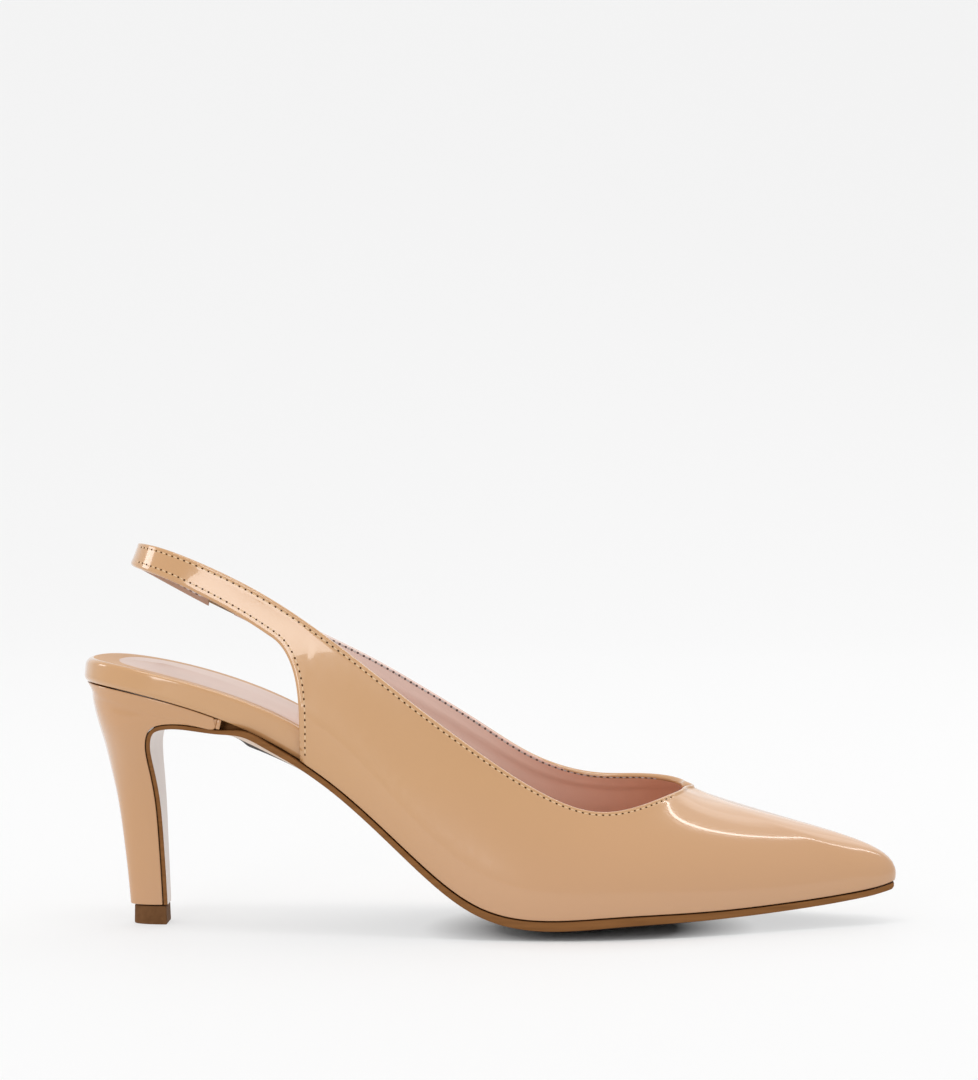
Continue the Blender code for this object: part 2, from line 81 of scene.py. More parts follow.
# Feather line, toe to back: shares of the length, half the ball width and the heel height, then
# millimetres of outsole edge, outsole crown and insole board
FEATHER = table(
    "along lateral medial height edge crown board",
    [
        (1.000, -0.040, 0.040, 0.169, 1.6, 0.2, 2.2),
        (0.989, 0.070, 0.156, 0.160, 1.6, 0.2, 2.2),
        (0.947, 0.215, 0.312, 0.136, 1.7, 0.4, 2.4),
        (0.865, 0.465, 0.578, 0.112, 1.9, 1.1, 2.6),
        (0.763, 0.769, 0.866, 0.097, 2.1, 2.8, 3.0),
        (0.661, 0.957, 0.992, 0.090, 2.5, 4.0, 3.2),
        (0.571, 1.000, 0.941, 0.080, 2.6, 3.2, 3.4),
        (0.490, 0.952, 0.812, 0.142, 2.0, 1.5, 4.2),
        (0.408, 0.866, 0.707, 0.356, 1.6, 0.4, 6.0),
        (0.327, 0.780, 0.661, 0.594, 1.5, 0.5, 7.8),
        (0.253, 0.726, 0.667, 0.757, 1.6, 3.8, 8.2),
        (0.171, 0.707, 0.688, 0.881, 1.6, 3.8, 7.6),
        (0.090, 0.672, 0.667, 0.959, 1.6, 0.9, 7.1),
        (0.029, 0.470, 0.470, 0.995, 1.6, 0.9, 7.0),
        (0.000, 0.000, 0.000, 1.000, 1.6, 0.9, 7.0),
    ],
)

# Topline over each feather row: shares of the length and half the ball width, then the height on each
# side as a share of the way from the instep to the top of the sling
TOPLINE = table(
    "along lateral medial lateral_height medial_height",
    [
        (0.750, -0.032, 0.032, -0.013, -0.013),
        (0.745, 0.040, 0.108, -0.011, -0.008),
        (0.740, 0.148, 0.215, -0.008, 0.000),
        (0.724, 0.349, 0.376, -0.013, 0.020),
        (0.678, 0.613, 0.548, -0.046, 0.028),
        (0.618, 0.761, 0.645, -0.037, 0.035),
        (0.551, 0.812, 0.688, 0.070, 0.108),
        (0.486, 0.815, 0.688, 0.215, 0.240),
        (0.416, 0.788, 0.667, 0.386, 0.384),
        (0.343, 0.731, 0.634, 0.574, 0.524),
        (0.269, 0.672, 0.602, 0.748, 0.645),
        (0.192, 0.599, 0.551, 0.888, 0.774),
        (0.122, 0.465, 0.444, 0.980, 0.897),
        (0.088, 0.255, 0.255, 1.002, 0.966),
        (0.077, 0.000, 0.000, 0.997, 0.997),
    ],
)

# How each section bends: millimetres out and up from the feather line, then the share of the way back
# out from the topline, the millimetres down from it and the millimetres its lip turns up
BEND = table(
    "flare rise reach drop lip",
    [
        (2.9, 12.0, 0.685, 13.2, 1.45),
        (2.7, 11.0, 0.642, 11.8, 1.41),
        (2.6, 12.5, 0.589, 11.25, 1.16),
        (2.35, 14.2, 0.490, 10.6, 0.58),
        (2.15, 15.6, 0.396, 7.8, 0.15),
        (2.05, 15.2, 0.394, 7.8, 0.0),
        (1.8, 13.6, 0.37, 10.3, 0.0),
        (1.25, 13.0, 0.367, 13.75, 0.0),
        (1.35, 13.6, 0.323, 15.8, 0.0),
        (2.1, 15.2, 0.471, 11.9, 0.0),
        (2.9, 17.8, 0.286, 16.75, 0.0),
        (1.3, 15.3, 0.198, 18.4, 0.0),
        (0.0, 14.0, 0.24, 13.0, 0.0),
        (0.0, 14.0, 0.20, 13.0, 0.0),
        (0.0, 14.0, 0.20, 13.0, 0.0),
    ],
)

# Heel, tip to lip: millimetres from the back of the rand, heights as shares of the heel height, half
# width in millimetres and how square the section turns
HEEL = table(
    "back back_height front front_height half_width power",
    [
        (12.8, 0.080, 23.0, 0.080, 4.9, 0.90),
        (12.1, 0.203, 22.7, 0.203, 5.3, 0.90),
        (11.1, 0.338, 22.3, 0.338, 6.2, 0.90),
        (9.6, 0.500, 21.7, 0.500, 8.2, 0.90),
        (7.7, 0.635, 20.6, 0.635, 12.0, 0.90),
        (6.1, 0.736, 19.9, 0.730, 16.0, 0.89),
        (4.6, 0.811, 20.8, 0.797, 19.0, 0.87),
        (3.6, 0.865, 23.6, 0.832, 20.6, 0.84),
        (3.0, 0.905, 29.5, 0.842, 21.6, 0.80),
        (2.7, 0.939, 36.5, 0.832, 22.2, 0.75),
        (2.5, 0.966, 41.3, 0.824, 22.8, 0.70),
    ],
)


class Side(Enum):
    """Side of the foot, by the sign of its places round the loop."""

    OUTER = 1
    INNER = -1


class SoleFace(Enum):
    """Face of the outsole, by the number of its material slot."""

    EDGE = 0
    FLAP = 1
    TREAD = 2
    RIM = 3


class Spline:
    """Curve of even bend through values at rising knots; a period closes it into a loop."""

    def __init__(self, knots: Sequence[float], values: Array, period: float = 0.0) -> None:
        """Solve for the bends at the knots.

        Args:
            knots: Rising places.
            values: One row of numbers for each knot.
            period: Length of the loop, or 0 for an open curve.
        """
        self.period = period
        self.knots = np.array(knots, float)
        self.values = np.array(values, float)
        if period:
            self.knots = np.append(self.knots, self.knots[0] + period)
            self.values = np.vstack([self.values, self.values[:1]])
        self.gaps = np.diff(self.knots)
        slopes = np.diff(self.values, axis=0) / self.gaps[:, None]
        count = len(self.knots)
        system = np.zeros((count, count))
        target = np.zeros_like(self.values)
        for row in range(1, count - 1):
            before, after = self.gaps[row - 1], self.gaps[row]
            system[row, row - 1 : row + 2] = before, 2 * (before + after), after
            target[row] = 6 * (slopes[row] - slopes[row - 1])
        system[0, 0] = 1
        if period:
            system[0, -1] = -1
            system[-1, :2] += self.gaps[0] * np.array([2, 1])
            system[-1, -2:] += self.gaps[-1] * np.array([1, 2])
            target[-1] = 6 * (slopes[0] - slopes[-1])
        else:
            system[-1, -1] = 1
        self.bends = np.linalg.solve(system, target)

    def at(self, place: float | Array) -> Array:
        """Read the curve.

        Args:
            place: One place or an array of places.

        Returns:
            Values with one more axis than the places.
        """
        place = np.asarray(place, float)
        if self.period:
            place = (place - self.knots[0]) % self.period + self.knots[0]
        step = np.clip(np.searchsorted(self.knots, place, side="right") - 1, 0, len(self.gaps) - 1)
        gap = self.gaps[step][..., None]
        left = (self.knots[step + 1] - place)[..., None] / gap
        right = 1 - left
        bend = (left**3 - left) * self.bends[step] + (right**3 - right) * self.bends[step + 1]
        return left * self.values[step] + right * self.values[step + 1] + bend * gap**2 / 6


def unit(vectors: Array) -> Array:
    """Scale vectors to length one."""
    return vectors / np.linalg.norm(vectors, axis=-1, keepdims=True)


def across_profile(travel: Array) -> Array:
    """Unit vectors across a side-view path, towards the foot.

    Args:
        travel: Steps along the path.

    Returns:
        One vector for each step.
    """
    level = np.zeros_like(travel)
    level[..., 0] = travel[..., 2]
    level[..., 2] = -travel[..., 0]
    return unit(level)


def bump(distance: Array, middle: float | Array, width: float) -> Array:
    """Soft hump of height one round a distance."""
    return np.exp(-(((distance - middle) / width) ** 2))


def running_length(points: Array) -> Array:
    """Length of a path up to each of its points."""
    return np.append(0, np.cumsum(np.linalg.norm(np.diff(points, axis=0), axis=1)))


def quarter_turn(count: int) -> Array:
    """Even angles from 0 to a right angle."""
    return np.linspace(0, math.pi / 2, count)


def direction(azimuth: float, elevation: float) -> Vector:
    """Unit vector from the shoe towards a place, by degrees round from -Y and up from the floor."""
    turn, rise = math.radians(azimuth), math.radians(elevation)
    return Vector((math.sin(turn) * math.cos(rise), -math.cos(turn) * math.cos(rise), math.sin(rise)))


@dataclass
class Last:
    """Form the shoe is made on: feather line, topline and the bend of each section."""

    length: float = 245 * MM
    ball_width: float = 74.4 * MM
    heel_height: float = 74 * MM
    instep_height: float = 40.8 * MM
    sling_height: float = 115 * MM
    back: float = -123.4 * MM
    tiny: float = 0.001
    lip_power: float = 25.0
    samples: int = 200
    fine_samples: int = 2000
    outline: Spline = field(init=False)
    layers: Spline = field(init=False)
    sections: Spline = field(init=False)

    def __post_init__(self) -> None:
        """Turn the tables into curves round the loop toe, outer side, back, inner side."""
        half = (FEATHER["lateral"] + FEATHER["medial"]) * self.ball_width / 4
        steps = np.hypot(np.diff(FEATHER["along"] * self.length), np.diff(half))
        sides = np.append(0, np.cumsum(steps))
        sides = sides / sides[-1]
        loop = self.around(sides, 2 - sides)
        height = FEATHER["height"] * self.heel_height
        self.outline = Spline(loop, self.loop_points(FEATHER, height, height), period=2)
        columns = [FEATHER[name] for name in ("edge", "crown", "board")]
        self.layers = Spline(sides, np.column_stack(columns) * MM)
        climb = self.sling_height - self.instep_height
        top = self.loop_points(
            TOPLINE,
            self.instep_height + TOPLINE["lateral_height"] * climb,
            self.instep_height + TOPLINE["medial_height"] * climb,
        )
        low = self.outline.at(loop)
        bend = {name: self.around(column, column)[:, None] for name, column in BEND.items()}
        up = np.array([0, 0, 1])
        low_handle = low + bend["flare"] * MM * self.outward(loop) + bend["rise"] * MM * up
        top_handle = top + bend["reach"] * (low - top) * (1 - up) - bend["drop"] * MM * up
        handles = [low, low_handle, top_handle, top, bend["lip"] * MM * up]
        self.sections = Spline(loop, np.hstack(handles), period=2)

    @staticmethod
    def around(outer: Array, inner: Array) -> Array:
        """Join the rows of both sides into one loop."""
        return np.concatenate([outer, inner[-2:0:-1]])

    def loop_points(self, rows: dict[str, Array], outer: Array, inner: Array) -> Array:
        """Place the points of a table round the loop.

        Args:
            rows: Table with the columns along, lateral and medial.
            outer: Heights on the outer side.
            inner: Heights on the inner side.

        Returns:
            One point for each row of each side.
        """
        along = self.back + rows["along"] * self.length
        half = self.ball_width / 2
        near = np.column_stack([along, -rows["lateral"] * half, outer])
        far = np.column_stack([along, rows["medial"] * half, inner])
        return self.around(near, far)

    def travel(self, place: float | Array) -> Array:
        """Short steps along the feather line."""
        return self.outline.at(place + self.tiny) - self.outline.at(place - self.tiny)

    def outward(self, place: Array) -> Array:
        """Point out of the feather line, level with the floor.

        Args:
            place: Places round the loop.

        Returns:
            One unit vector for each place.
        """
        travel = self.travel(place)
        level = np.zeros_like(travel[..., 0])
        return unit(np.stack([-travel[..., 1], travel[..., 0], level], axis=-1))

    def place_of(self, along: float) -> float:
        """Find the place on a side whose feather point lies at a share of the length.

        Args:
            along: Share of the length, from the back.

        Returns:
            Place from 0 at the toe to 1 at the back.
        """
        places = np.linspace(0, 1, self.fine_samples)
        reach = (self.outline.at(places)[:, 0] - self.back) / self.length
        return float(np.interp(-along, -reach, places))

    def point(self, place: Array, share: Array) -> Array:
        """Read the surface of the last.

        Args:
            place: Places round the loop.
            share: Shares from 0 at the feather line to 1 at the topline.

        Returns:
            One point for each place.
        """
        low, low_handle, top_handle, top, lip = np.split(self.sections.at(place), 5, axis=-1)
        share = np.asarray(share, float)[..., None]
        rest = 1 - share
        return (
            rest**3 * low
            + 3 * rest**2 * share * low_handle
            + 3 * rest * share**2 * top_handle
            + share**3 * top
            + share**self.lip_power * lip
        )

    def normal(self, place: Array, share: Array) -> Array:
        """Point out of the last.

        Args:
            place: Places round the loop.
            share: Shares from 0 at the feather line to 1 at the topline.

        Returns:
            One unit vector for each place.
        """
        along = self.point(place + self.tiny, share) - self.point(place - self.tiny, share)
        up = self.point(place, share + self.tiny) - self.point(place, share - self.tiny)
        return unit(np.cross(up, along))

    def drops(self, places: Array) -> tuple[Array, Array]:
        """Measure sections downwards from the topline.

        Args:
            places: One place for each section.

        Returns:
            Falling shares, and the length from the topline down to each share of each section.
        """
        shares = np.linspace(1, 0, self.samples)
        grid = np.broadcast_to(places[:, None], (len(places), self.samples))
        points = self.point(grid, np.broadcast_to(shares, grid.shape))
        steps = np.linalg.norm(np.diff(points, axis=1), axis=2)
        return shares, np.hstack([np.zeros((len(places), 1)), np.cumsum(steps, axis=1)])

    def share_below_top(self, place: float, drop: float) -> float:
        """Share of a section that lies a given length below the topline."""
        shares, lengths = self.drops(np.array([place]))
        return float(np.interp(drop, lengths[0], shares))


class Graph:
    """Shader nodes of one material."""

    def __init__(self, name: str) -> None:
        """Start a material that holds a Principled shader.

        Args:
            name: Name of the material.
        """
        self.material = bpy.data.materials.new(name)
        self.material.use_nodes = True
        self.tree = self.material.node_tree
        self.shader = self.tree.nodes["Principled BSDF"]

    def set(self, **values: float | Sequence[float]) -> None:
        """Set sockets of the shader; an underscore in a name stands for a space."""
        for name, value in values.items():
            self.shader.inputs[name.replace("_", " ")].default_value = value

    def add(
        self, kind: str, sockets: dict[str | int, object] | None = None, **settings: object
    ) -> bpy.types.Node:
        """Add a node.

        Args:
            kind: Node type.
            sockets: A value, or an output socket to link, for each input.
            settings: Node properties.

        Returns:
            The new node.
        """
        node = self.tree.nodes.new(kind)
        for name, value in settings.items():
            setattr(node, name, value)
        for name, value in (sockets or {}).items():
            if isinstance(value, Socket):
                self.tree.links.new(value, node.inputs[name])
            else:
                node.inputs[name].default_value = value
        return node

    def feed(self, name: str, source: Socket) -> None:
        """Link an output to an input of the shader."""
        self.tree.links.new(source, self.shader.inputs[name])

    def where(self) -> Socket:
        """Object coordinates."""
        return self.add("ShaderNodeTexCoord").outputs["Object"]

    def noise(self, scale: float, detail: float = 2.0, vector: Socket | None = None) -> Socket:
        """Add a noise.

        Args:
            scale: Cells in a metre.
            detail: Steps of finer noise.
            vector: What the noise reads, if not the Object coordinates.

        Returns:
            The noise, from 0 to 1.
        """
        place = self.where() if vector is None else vector
        sockets = {"Vector": place, "Scale": scale, "Detail": detail}
        return self.add("ShaderNodeTexNoise", sockets).outputs["Fac"]

    def share(self, value: Socket, low: float, high: float) -> Socket:
        """Share of the way of a value from low to high."""
        sockets = {"Value": value, "From Min": low, "From Max": high}
        return self.add("ShaderNodeMapRange", sockets).outputs["Result"]

    def axis_share(self, axis: str, low: float, high: float) -> Socket:
        """Share of the way from low to high along an axis of the Object coordinates."""
        place = self.add("ShaderNodeSeparateXYZ", {"Vector": self.where()}).outputs[axis]
        return self.share(place, low, high)

    def ramp(self, factor: Socket, places: Sequence[float], colours: Sequence[Colour]) -> Socket:
        """Blend colours.

        Args:
            factor: What places a point on the ramp.
            places: Places on the ramp, from 0 to 1.
            colours: One colour for each place.

        Returns:
            The colour output.
        """
        node = self.add("ShaderNodeValToRGB", {"Fac": factor})
        marks = node.color_ramp.elements
        while len(marks) < len(places):
            marks.new(0.5)
        for mark, place, colour in zip(marks, places, colours):
            mark.position = place
            mark.color = (*colour, 1)
        return node.outputs["Color"]

    def paint(self, factor: Socket, places: Sequence[float], colours: Sequence[Colour]) -> None:
        """Give the shader a blend of colours."""
        self.feed("Base Color", self.ramp(factor, places, colours))

    def relief(self, height: Socket, depth: float) -> None:
        """Shape the shader's normal by a height from 0 to 1, depth metres deep."""
        sockets = {"Height": height, "Distance": depth, "Strength": 1.0}
        self.feed("Normal", self.add("ShaderNodeBump", sockets).outputs["Normal"])

    def grain(self, scale: float, depth: float) -> None:
        """Press fine leather cells into the surface."""
        sockets = {"Vector": self.where(), "Scale": scale}
        self.relief(self.add("ShaderNodeTexVoronoi", sockets).outputs["Distance"], depth)


TONE_PLACES = (0.3, 0.7)


@dataclass(frozen=True)
class Patent:
    """Patent leather: tan under a clear gloss with a faint swim in its reflections; low down its base
    turns rose, a painted reflection of the floor.
    """

    name: str
    tan: Colour
    low_reflection: Colour
    # Heights over which the painted reflection fades from rose to tan
    low: float = 0.0
    high: float = 0.06
    swim: float = 0.000022
    swim_scale: float = 260.0
    cloud: float = 30.0
    cloud_share: float = 0.35
    places: tuple[float, float] = (0.15, 0.95)
    roughness: float = 0.16
    coat_roughness: float = 0.03
    coat_ior: float = 1.5

    def material(self) -> Material:
        """Make the material.

        Returns:
            The material.
        """
        graph = Graph(self.name)
        # Painted reflection: rose low down fading to tan higher up, broken by random clouds
        rise = graph.axis_share("Z", self.low, self.high)
        sockets = {0: graph.noise(self.cloud, detail=3), 1: self.cloud_share, 2: rise}
        mixed = graph.add("ShaderNodeMath", sockets, operation="MULTIPLY_ADD").outputs[0]
        graph.paint(mixed, self.places, (self.low_reflection, self.tan))
        graph.set(Roughness=self.roughness, Coat_Weight=1.0)
        graph.set(Coat_Roughness=self.coat_roughness, Coat_IOR=self.coat_ior)
        graph.relief(graph.noise(self.swim_scale, detail=1), self.swim)
        return graph.material


@dataclass(frozen=True)
class Leather:
    """Satin leather: two tones in soft clouds and a fine grain."""

    name: str
    light: Colour
    dark: Colour
    roughness: float
    grain: float = 2200.0
    grain_depth: float = 0.00002
    cloud: float = 60.0
    coat: float = 0.0
    gloss: float = 0.5

    def material(self) -> Material:
        """Make the material.

        Returns:
            The material.
        """
        graph = Graph(self.name)
        graph.paint(graph.noise(self.cloud, detail=4), TONE_PLACES, (self.dark, self.light))
        graph.set(Roughness=self.roughness, Coat_Weight=self.coat, Specular_IOR_Level=self.gloss)
        graph.grain(self.grain, self.grain_depth)
        return graph.material


@dataclass(frozen=True)
class Lining:
    """Smooth lining leather with a fine grain; its colours from the strap to the vamp are painted shade:
    dark at the strap end, pale at the open back, darker and redder deep under the vamp.
    """

    name: str
    colours: tuple[Colour, ...]
    places: tuple[float, ...] = (0.1, 0.3, 0.65, 1.0)
    rear: float = -0.10
    fore: float = 0.05
    roughness: float = 0.5
    sheen: float = 0.12
    grain: float = 2600.0
    grain_depth: float = 0.00002

    def material(self) -> Material:
        """Make the material.

        Returns:
            The material.
        """
        graph = Graph(self.name)
        # Painted shade along X: darkest at the strap end and deep under the vamp, pale at the back
        graph.paint(graph.axis_share("X", self.rear, self.fore), self.places, self.colours)
        graph.set(Roughness=self.roughness, Sheen_Weight=self.sheen)
        graph.grain(self.grain, self.grain_depth)
        return graph.material


@dataclass(frozen=True)
class SoleFinish:
    """Stained and waxed sole edge: brown with fine layers and a low gloss."""

    name: str
    light: Colour
    dark: Colour
    roughness: float = 0.5
    gloss: float = 0.1
    layers: Triple = (60.0, 60.0, 900.0)
    depth: float = 0.00006

    def material(self) -> Material:
        """Make the material.

        Returns:
            The material.
        """
        graph = Graph(self.name)
        layers = graph.add("ShaderNodeMapping", {"Vector": graph.where(), "Scale": self.layers})
        streak = graph.noise(1.0, detail=3, vector=layers.outputs["Vector"])
        graph.paint(streak, TONE_PLACES, (self.dark, self.light))
        graph.set(Roughness=self.roughness, Specular_IOR_Level=self.gloss)
        graph.relief(streak, self.depth)
        return graph.material


@dataclass(frozen=True)
class Plain:
    """Small matt thing: two close tones broken by a fine noise."""

    name: str
    light: Colour
    dark: Colour
    roughness: float = 0.6
    scale: float = 900.0
    gloss: float = 0.5
    depth: float = 0.00005

    def material(self) -> Material:
        """Make the material.

        Returns:
            The material.
        """
        graph = Graph(self.name)
        noise = graph.noise(self.scale)
        graph.paint(noise, TONE_PLACES, (self.dark, self.light))
        graph.set(Roughness=self.roughness, Specular_IOR_Level=self.gloss)
        graph.relief(noise, self.depth)
        return graph.material


@dataclass(frozen=True)
class Studio:
    """White sweep: pale paint round the shoe that goes over into a glowing white; the glow is painted
    light that keeps the backdrop evenly bright and lightens the shoe's shadow away from the middle.
    """

    name: str
    paint: float = 0.88
    far_paint: float = 0.31
    glow: float = 0.595
    # Middle and reaches of the patch without glow; past it the glow is painted light that lightens the
    # shoe's shadow
    middle: Point = (0.030, -0.012, 0.0)
    near: float = 0.026
    far: float = 0.050
    roughness: float = 0.7
    gloss: float = 0.1

    def material(self) -> Material:
        """Make the material.

        Returns:
            The material.
        """
        graph = Graph(self.name)
        sockets = {0: graph.where(), 1: self.middle}
        reach = graph.add("ShaderNodeVectorMath", sockets, operation="DISTANCE").outputs["Value"]
        share = graph.share(reach, self.near, self.far)
        graph.paint(share, (0.0, 1.0), (3 * (self.paint,), 3 * (self.far_paint,)))
        # Glow grows with the distance from the middle: painted light on the floor
        graph.feed("Emission Color", graph.ramp(share, (0.0, 1.0), (3 * (0.0,), 3 * (self.glow,))))
        graph.set(Roughness=self.roughness, Emission_Strength=1.0, Specular_IOR_Level=self.gloss)
        return graph.material


Finish = Patent | Leather | Lining | SoleFinish | Plain


@cache
def material_of(finish: Finish) -> Material:
    """Make the material of a finish, once for all pieces."""
    return finish.material()


# TAN is the patent's own colour; the rose is a painted reflection, shown low on the upper and the heel
TAN = (0.572, 0.312, 0.136)
ROSE_REFLECTION = (0.552, 0.298, 0.152)
PATENT = Patent("patent_upper", TAN, ROSE_REFLECTION)
HEEL_PATENT = Patent("patent_heel", (0.55, 0.290, 0.128), (0.53, 0.276, 0.142), low=-0.02, high=0.03)
RAND_PATENT = Patent("patent_rand", TAN, ROSE_REFLECTION, low=-0.02, high=0.02, swim=0.00001)
# Lining colours, strap end to vamp: painted shade dark on the strap and warm dark under the vamp, pale at
# the back
LINING = Lining(
    "lining", ((0.46, 0.29, 0.21), (0.87, 0.71, 0.65), (0.84, 0.60, 0.51), (0.74, 0.355, 0.225))
)
SOCK = Leather("sock_leather", (0.70, 0.515, 0.44), (0.64, 0.46, 0.385), 0.35, cloud=40.0)
RAND_TOP = Leather("rand_top", (0.60, 0.36, 0.20), (0.54, 0.31, 0.165), 0.5, gloss=0.2)
SOCK_RIM = Leather("sock_rim", (0.46, 0.25, 0.14), (0.40, 0.21, 0.115), 0.5)
SOLE_EDGE = SoleFinish("sole_edge", (0.25, 0.108, 0.034), (0.19, 0.080, 0.024))
SOLE_FACE = Leather("sole_face", (0.72, 0.58, 0.50), (0.66, 0.52, 0.44), 0.28, grain=1800.0, coat=0.15)
# Nearly black underside of the tread; in the waist, its band inside the pale rim is painted shade
SOLE_TREAD_AND_SHADE = Leather(
    "sole_tread_and_shade",
    (0.035, 0.024, 0.019),
    (0.024, 0.016, 0.012),
    0.6,
    grain=1500.0,
    grain_depth=0.00004,
    gloss=0.1,
)
SOLE_RIM = Leather("sole_rim", (0.74, 0.57, 0.45), (0.68, 0.51, 0.39), 0.45, grain=1800.0)
TOP_PIECE_FINISH = Plain(
    "top_piece_rubber", (0.165, 0.076, 0.030), (0.130, 0.058, 0.022), 0.7, scale=500.0, gloss=0.1
)
ELASTIC_FINISH = Plain("elastic_weave", (0.30, 0.19, 0.10), (0.22, 0.14, 0.075), 0.8)
THREAD = Plain("thread", (0.74, 0.52, 0.31), (0.66, 0.45, 0.26), 0.5)
INNER_THREAD = Plain("inner_thread", (0.66, 0.60, 0.58), (0.50, 0.45, 0.44))
# Needle holes: small dark balls whose colour is painted shade in the holes
HOLE_SHADE = Plain("stitch_hole_shade", (0.085, 0.040, 0.016), (0.060, 0.027, 0.010), 0.9, gloss=0.0)
INNER_HOLE_SHADE = Plain("lining_hole_shade", (0.17, 0.125, 0.115), (0.11, 0.08, 0.075), 0.8, gloss=0.1)
SWEEP = Studio("white_sweep")


@dataclass(frozen=True)
class Seam:
    """Rows of stitches along the cut edges, on one side of the leather, from end to front."""

    name: str
    thread: Plain
    hole: Plain
    top_inset: float
    front: float
    hole_half: float
    thread_half: float
    inside: bool = False
    rear_inset: float = 1.9 * MM
    end: float = -0.1035
    pitch: float = 2.06 * MM
    longest: float = 1.5
    shortest: float = 0.1 * MM
    lift: float = 0.02 * MM
    thread_rise: float = 0.12 * MM
    hole_rise: float = 0.08 * MM
    hole_shape: float = 0.85


FACE_SEAM = Seam(
    "face", THREAD, HOLE_SHADE, top_inset=1.25 * MM, front=0.0555, hole_half=0.34 * MM, thread_half=0.22 * MM
)
LINING_SEAM = Seam(
    "lining",
    INNER_THREAD,
    INNER_HOLE_SHADE,
    top_inset=0.75 * MM,
    front=0.050,
    hole_half=0.46 * MM,
    thread_half=0.30 * MM,
    inside=True,
)


def on_grid(points: Array, slots: Callable[[float, float], int] | None = None) -> Mesh:
    """Move a flat grid onto a surface.

    Args:
        points: Places of the grid's corners, columns by rows by 3.
        slots: Material slot of a face, from its shares of the columns and of the rows.

    Returns:
        The mesh, with doubled corners merged.
    """
    columns, rows = points.shape[0] - 1, points.shape[1] - 1
    mesh = bmesh.new()
    # The grid is one unit wide, so half a unit more turns its places into shares
    bmesh.ops.create_grid(mesh, x_segments=columns, y_segments=rows, size=0.5)
    if slots:
        for face in mesh.faces:
            middle = face.calc_center_median()
            face.material_index = slots(middle.x + 0.5, middle.y + 0.5)
    for corner in mesh.verts:
        column = round((corner.co.x + 0.5) * columns)
        row = round((corner.co.y + 0.5) * rows)
        corner.co = points[column, row]
    bmesh.ops.remove_doubles(mesh, verts=mesh.verts, dist=MERGE)
    bmesh.ops.dissolve_degenerate(mesh, dist=COLLAPSE, edges=mesh.edges)
    return mesh


def close_ends(mesh: Mesh) -> None:
    """Fill the open ends of a tube and turn its faces outwards."""
    bmesh.ops.holes_fill(mesh, edges=[edge for edge in mesh.edges if edge.is_boundary], sides=0)
    bmesh.ops.recalc_face_normals(mesh, faces=mesh.faces)


def add_object(name: str, mesh: Mesh, materials: Sequence[Material]) -> bpy.types.Object:
    """Turn a mesh into a smooth object of the scene.

    Args:
        name: Name of the object.
        mesh: Its shape, freed here.
        materials: One material for each slot of the mesh.

    Returns:
        The object.
    """
    data = bpy.data.meshes.new(name)
    mesh.to_mesh(data)
    mesh.free()
    data.shade_smooth()
    for material in materials:
        data.materials.append(material)
    thing = bpy.data.objects.new(name, data)
    bpy.context.scene.collection.objects.link(thing)
    return thing


def make_piece(
    name: str, mesh: Mesh, finishes: Sequence[Finish], node: str = "", crease: float = 50.0
) -> bpy.types.Object:
    """Turn a mesh into a dressed piece of the shoe.

    Args:
        name: Name of the piece.
        mesh: Its shape, freed here.
        finishes: One finish for each material slot of the mesh.
        node: CAD node that the piece stands for, if any.
        crease: Degrees past which an edge stays sharp.

    Returns:
        The object.
    """
    piece = add_object(name, mesh, [material_of(finish) for finish in finishes])
    piece.data.set_sharp_from_angle(angle=math.radians(crease))
    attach(piece, BODY)
    if node:
        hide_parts(node)
    LOG.info("%s: %d faces", name, len(piece.data.polygons))
    return piece


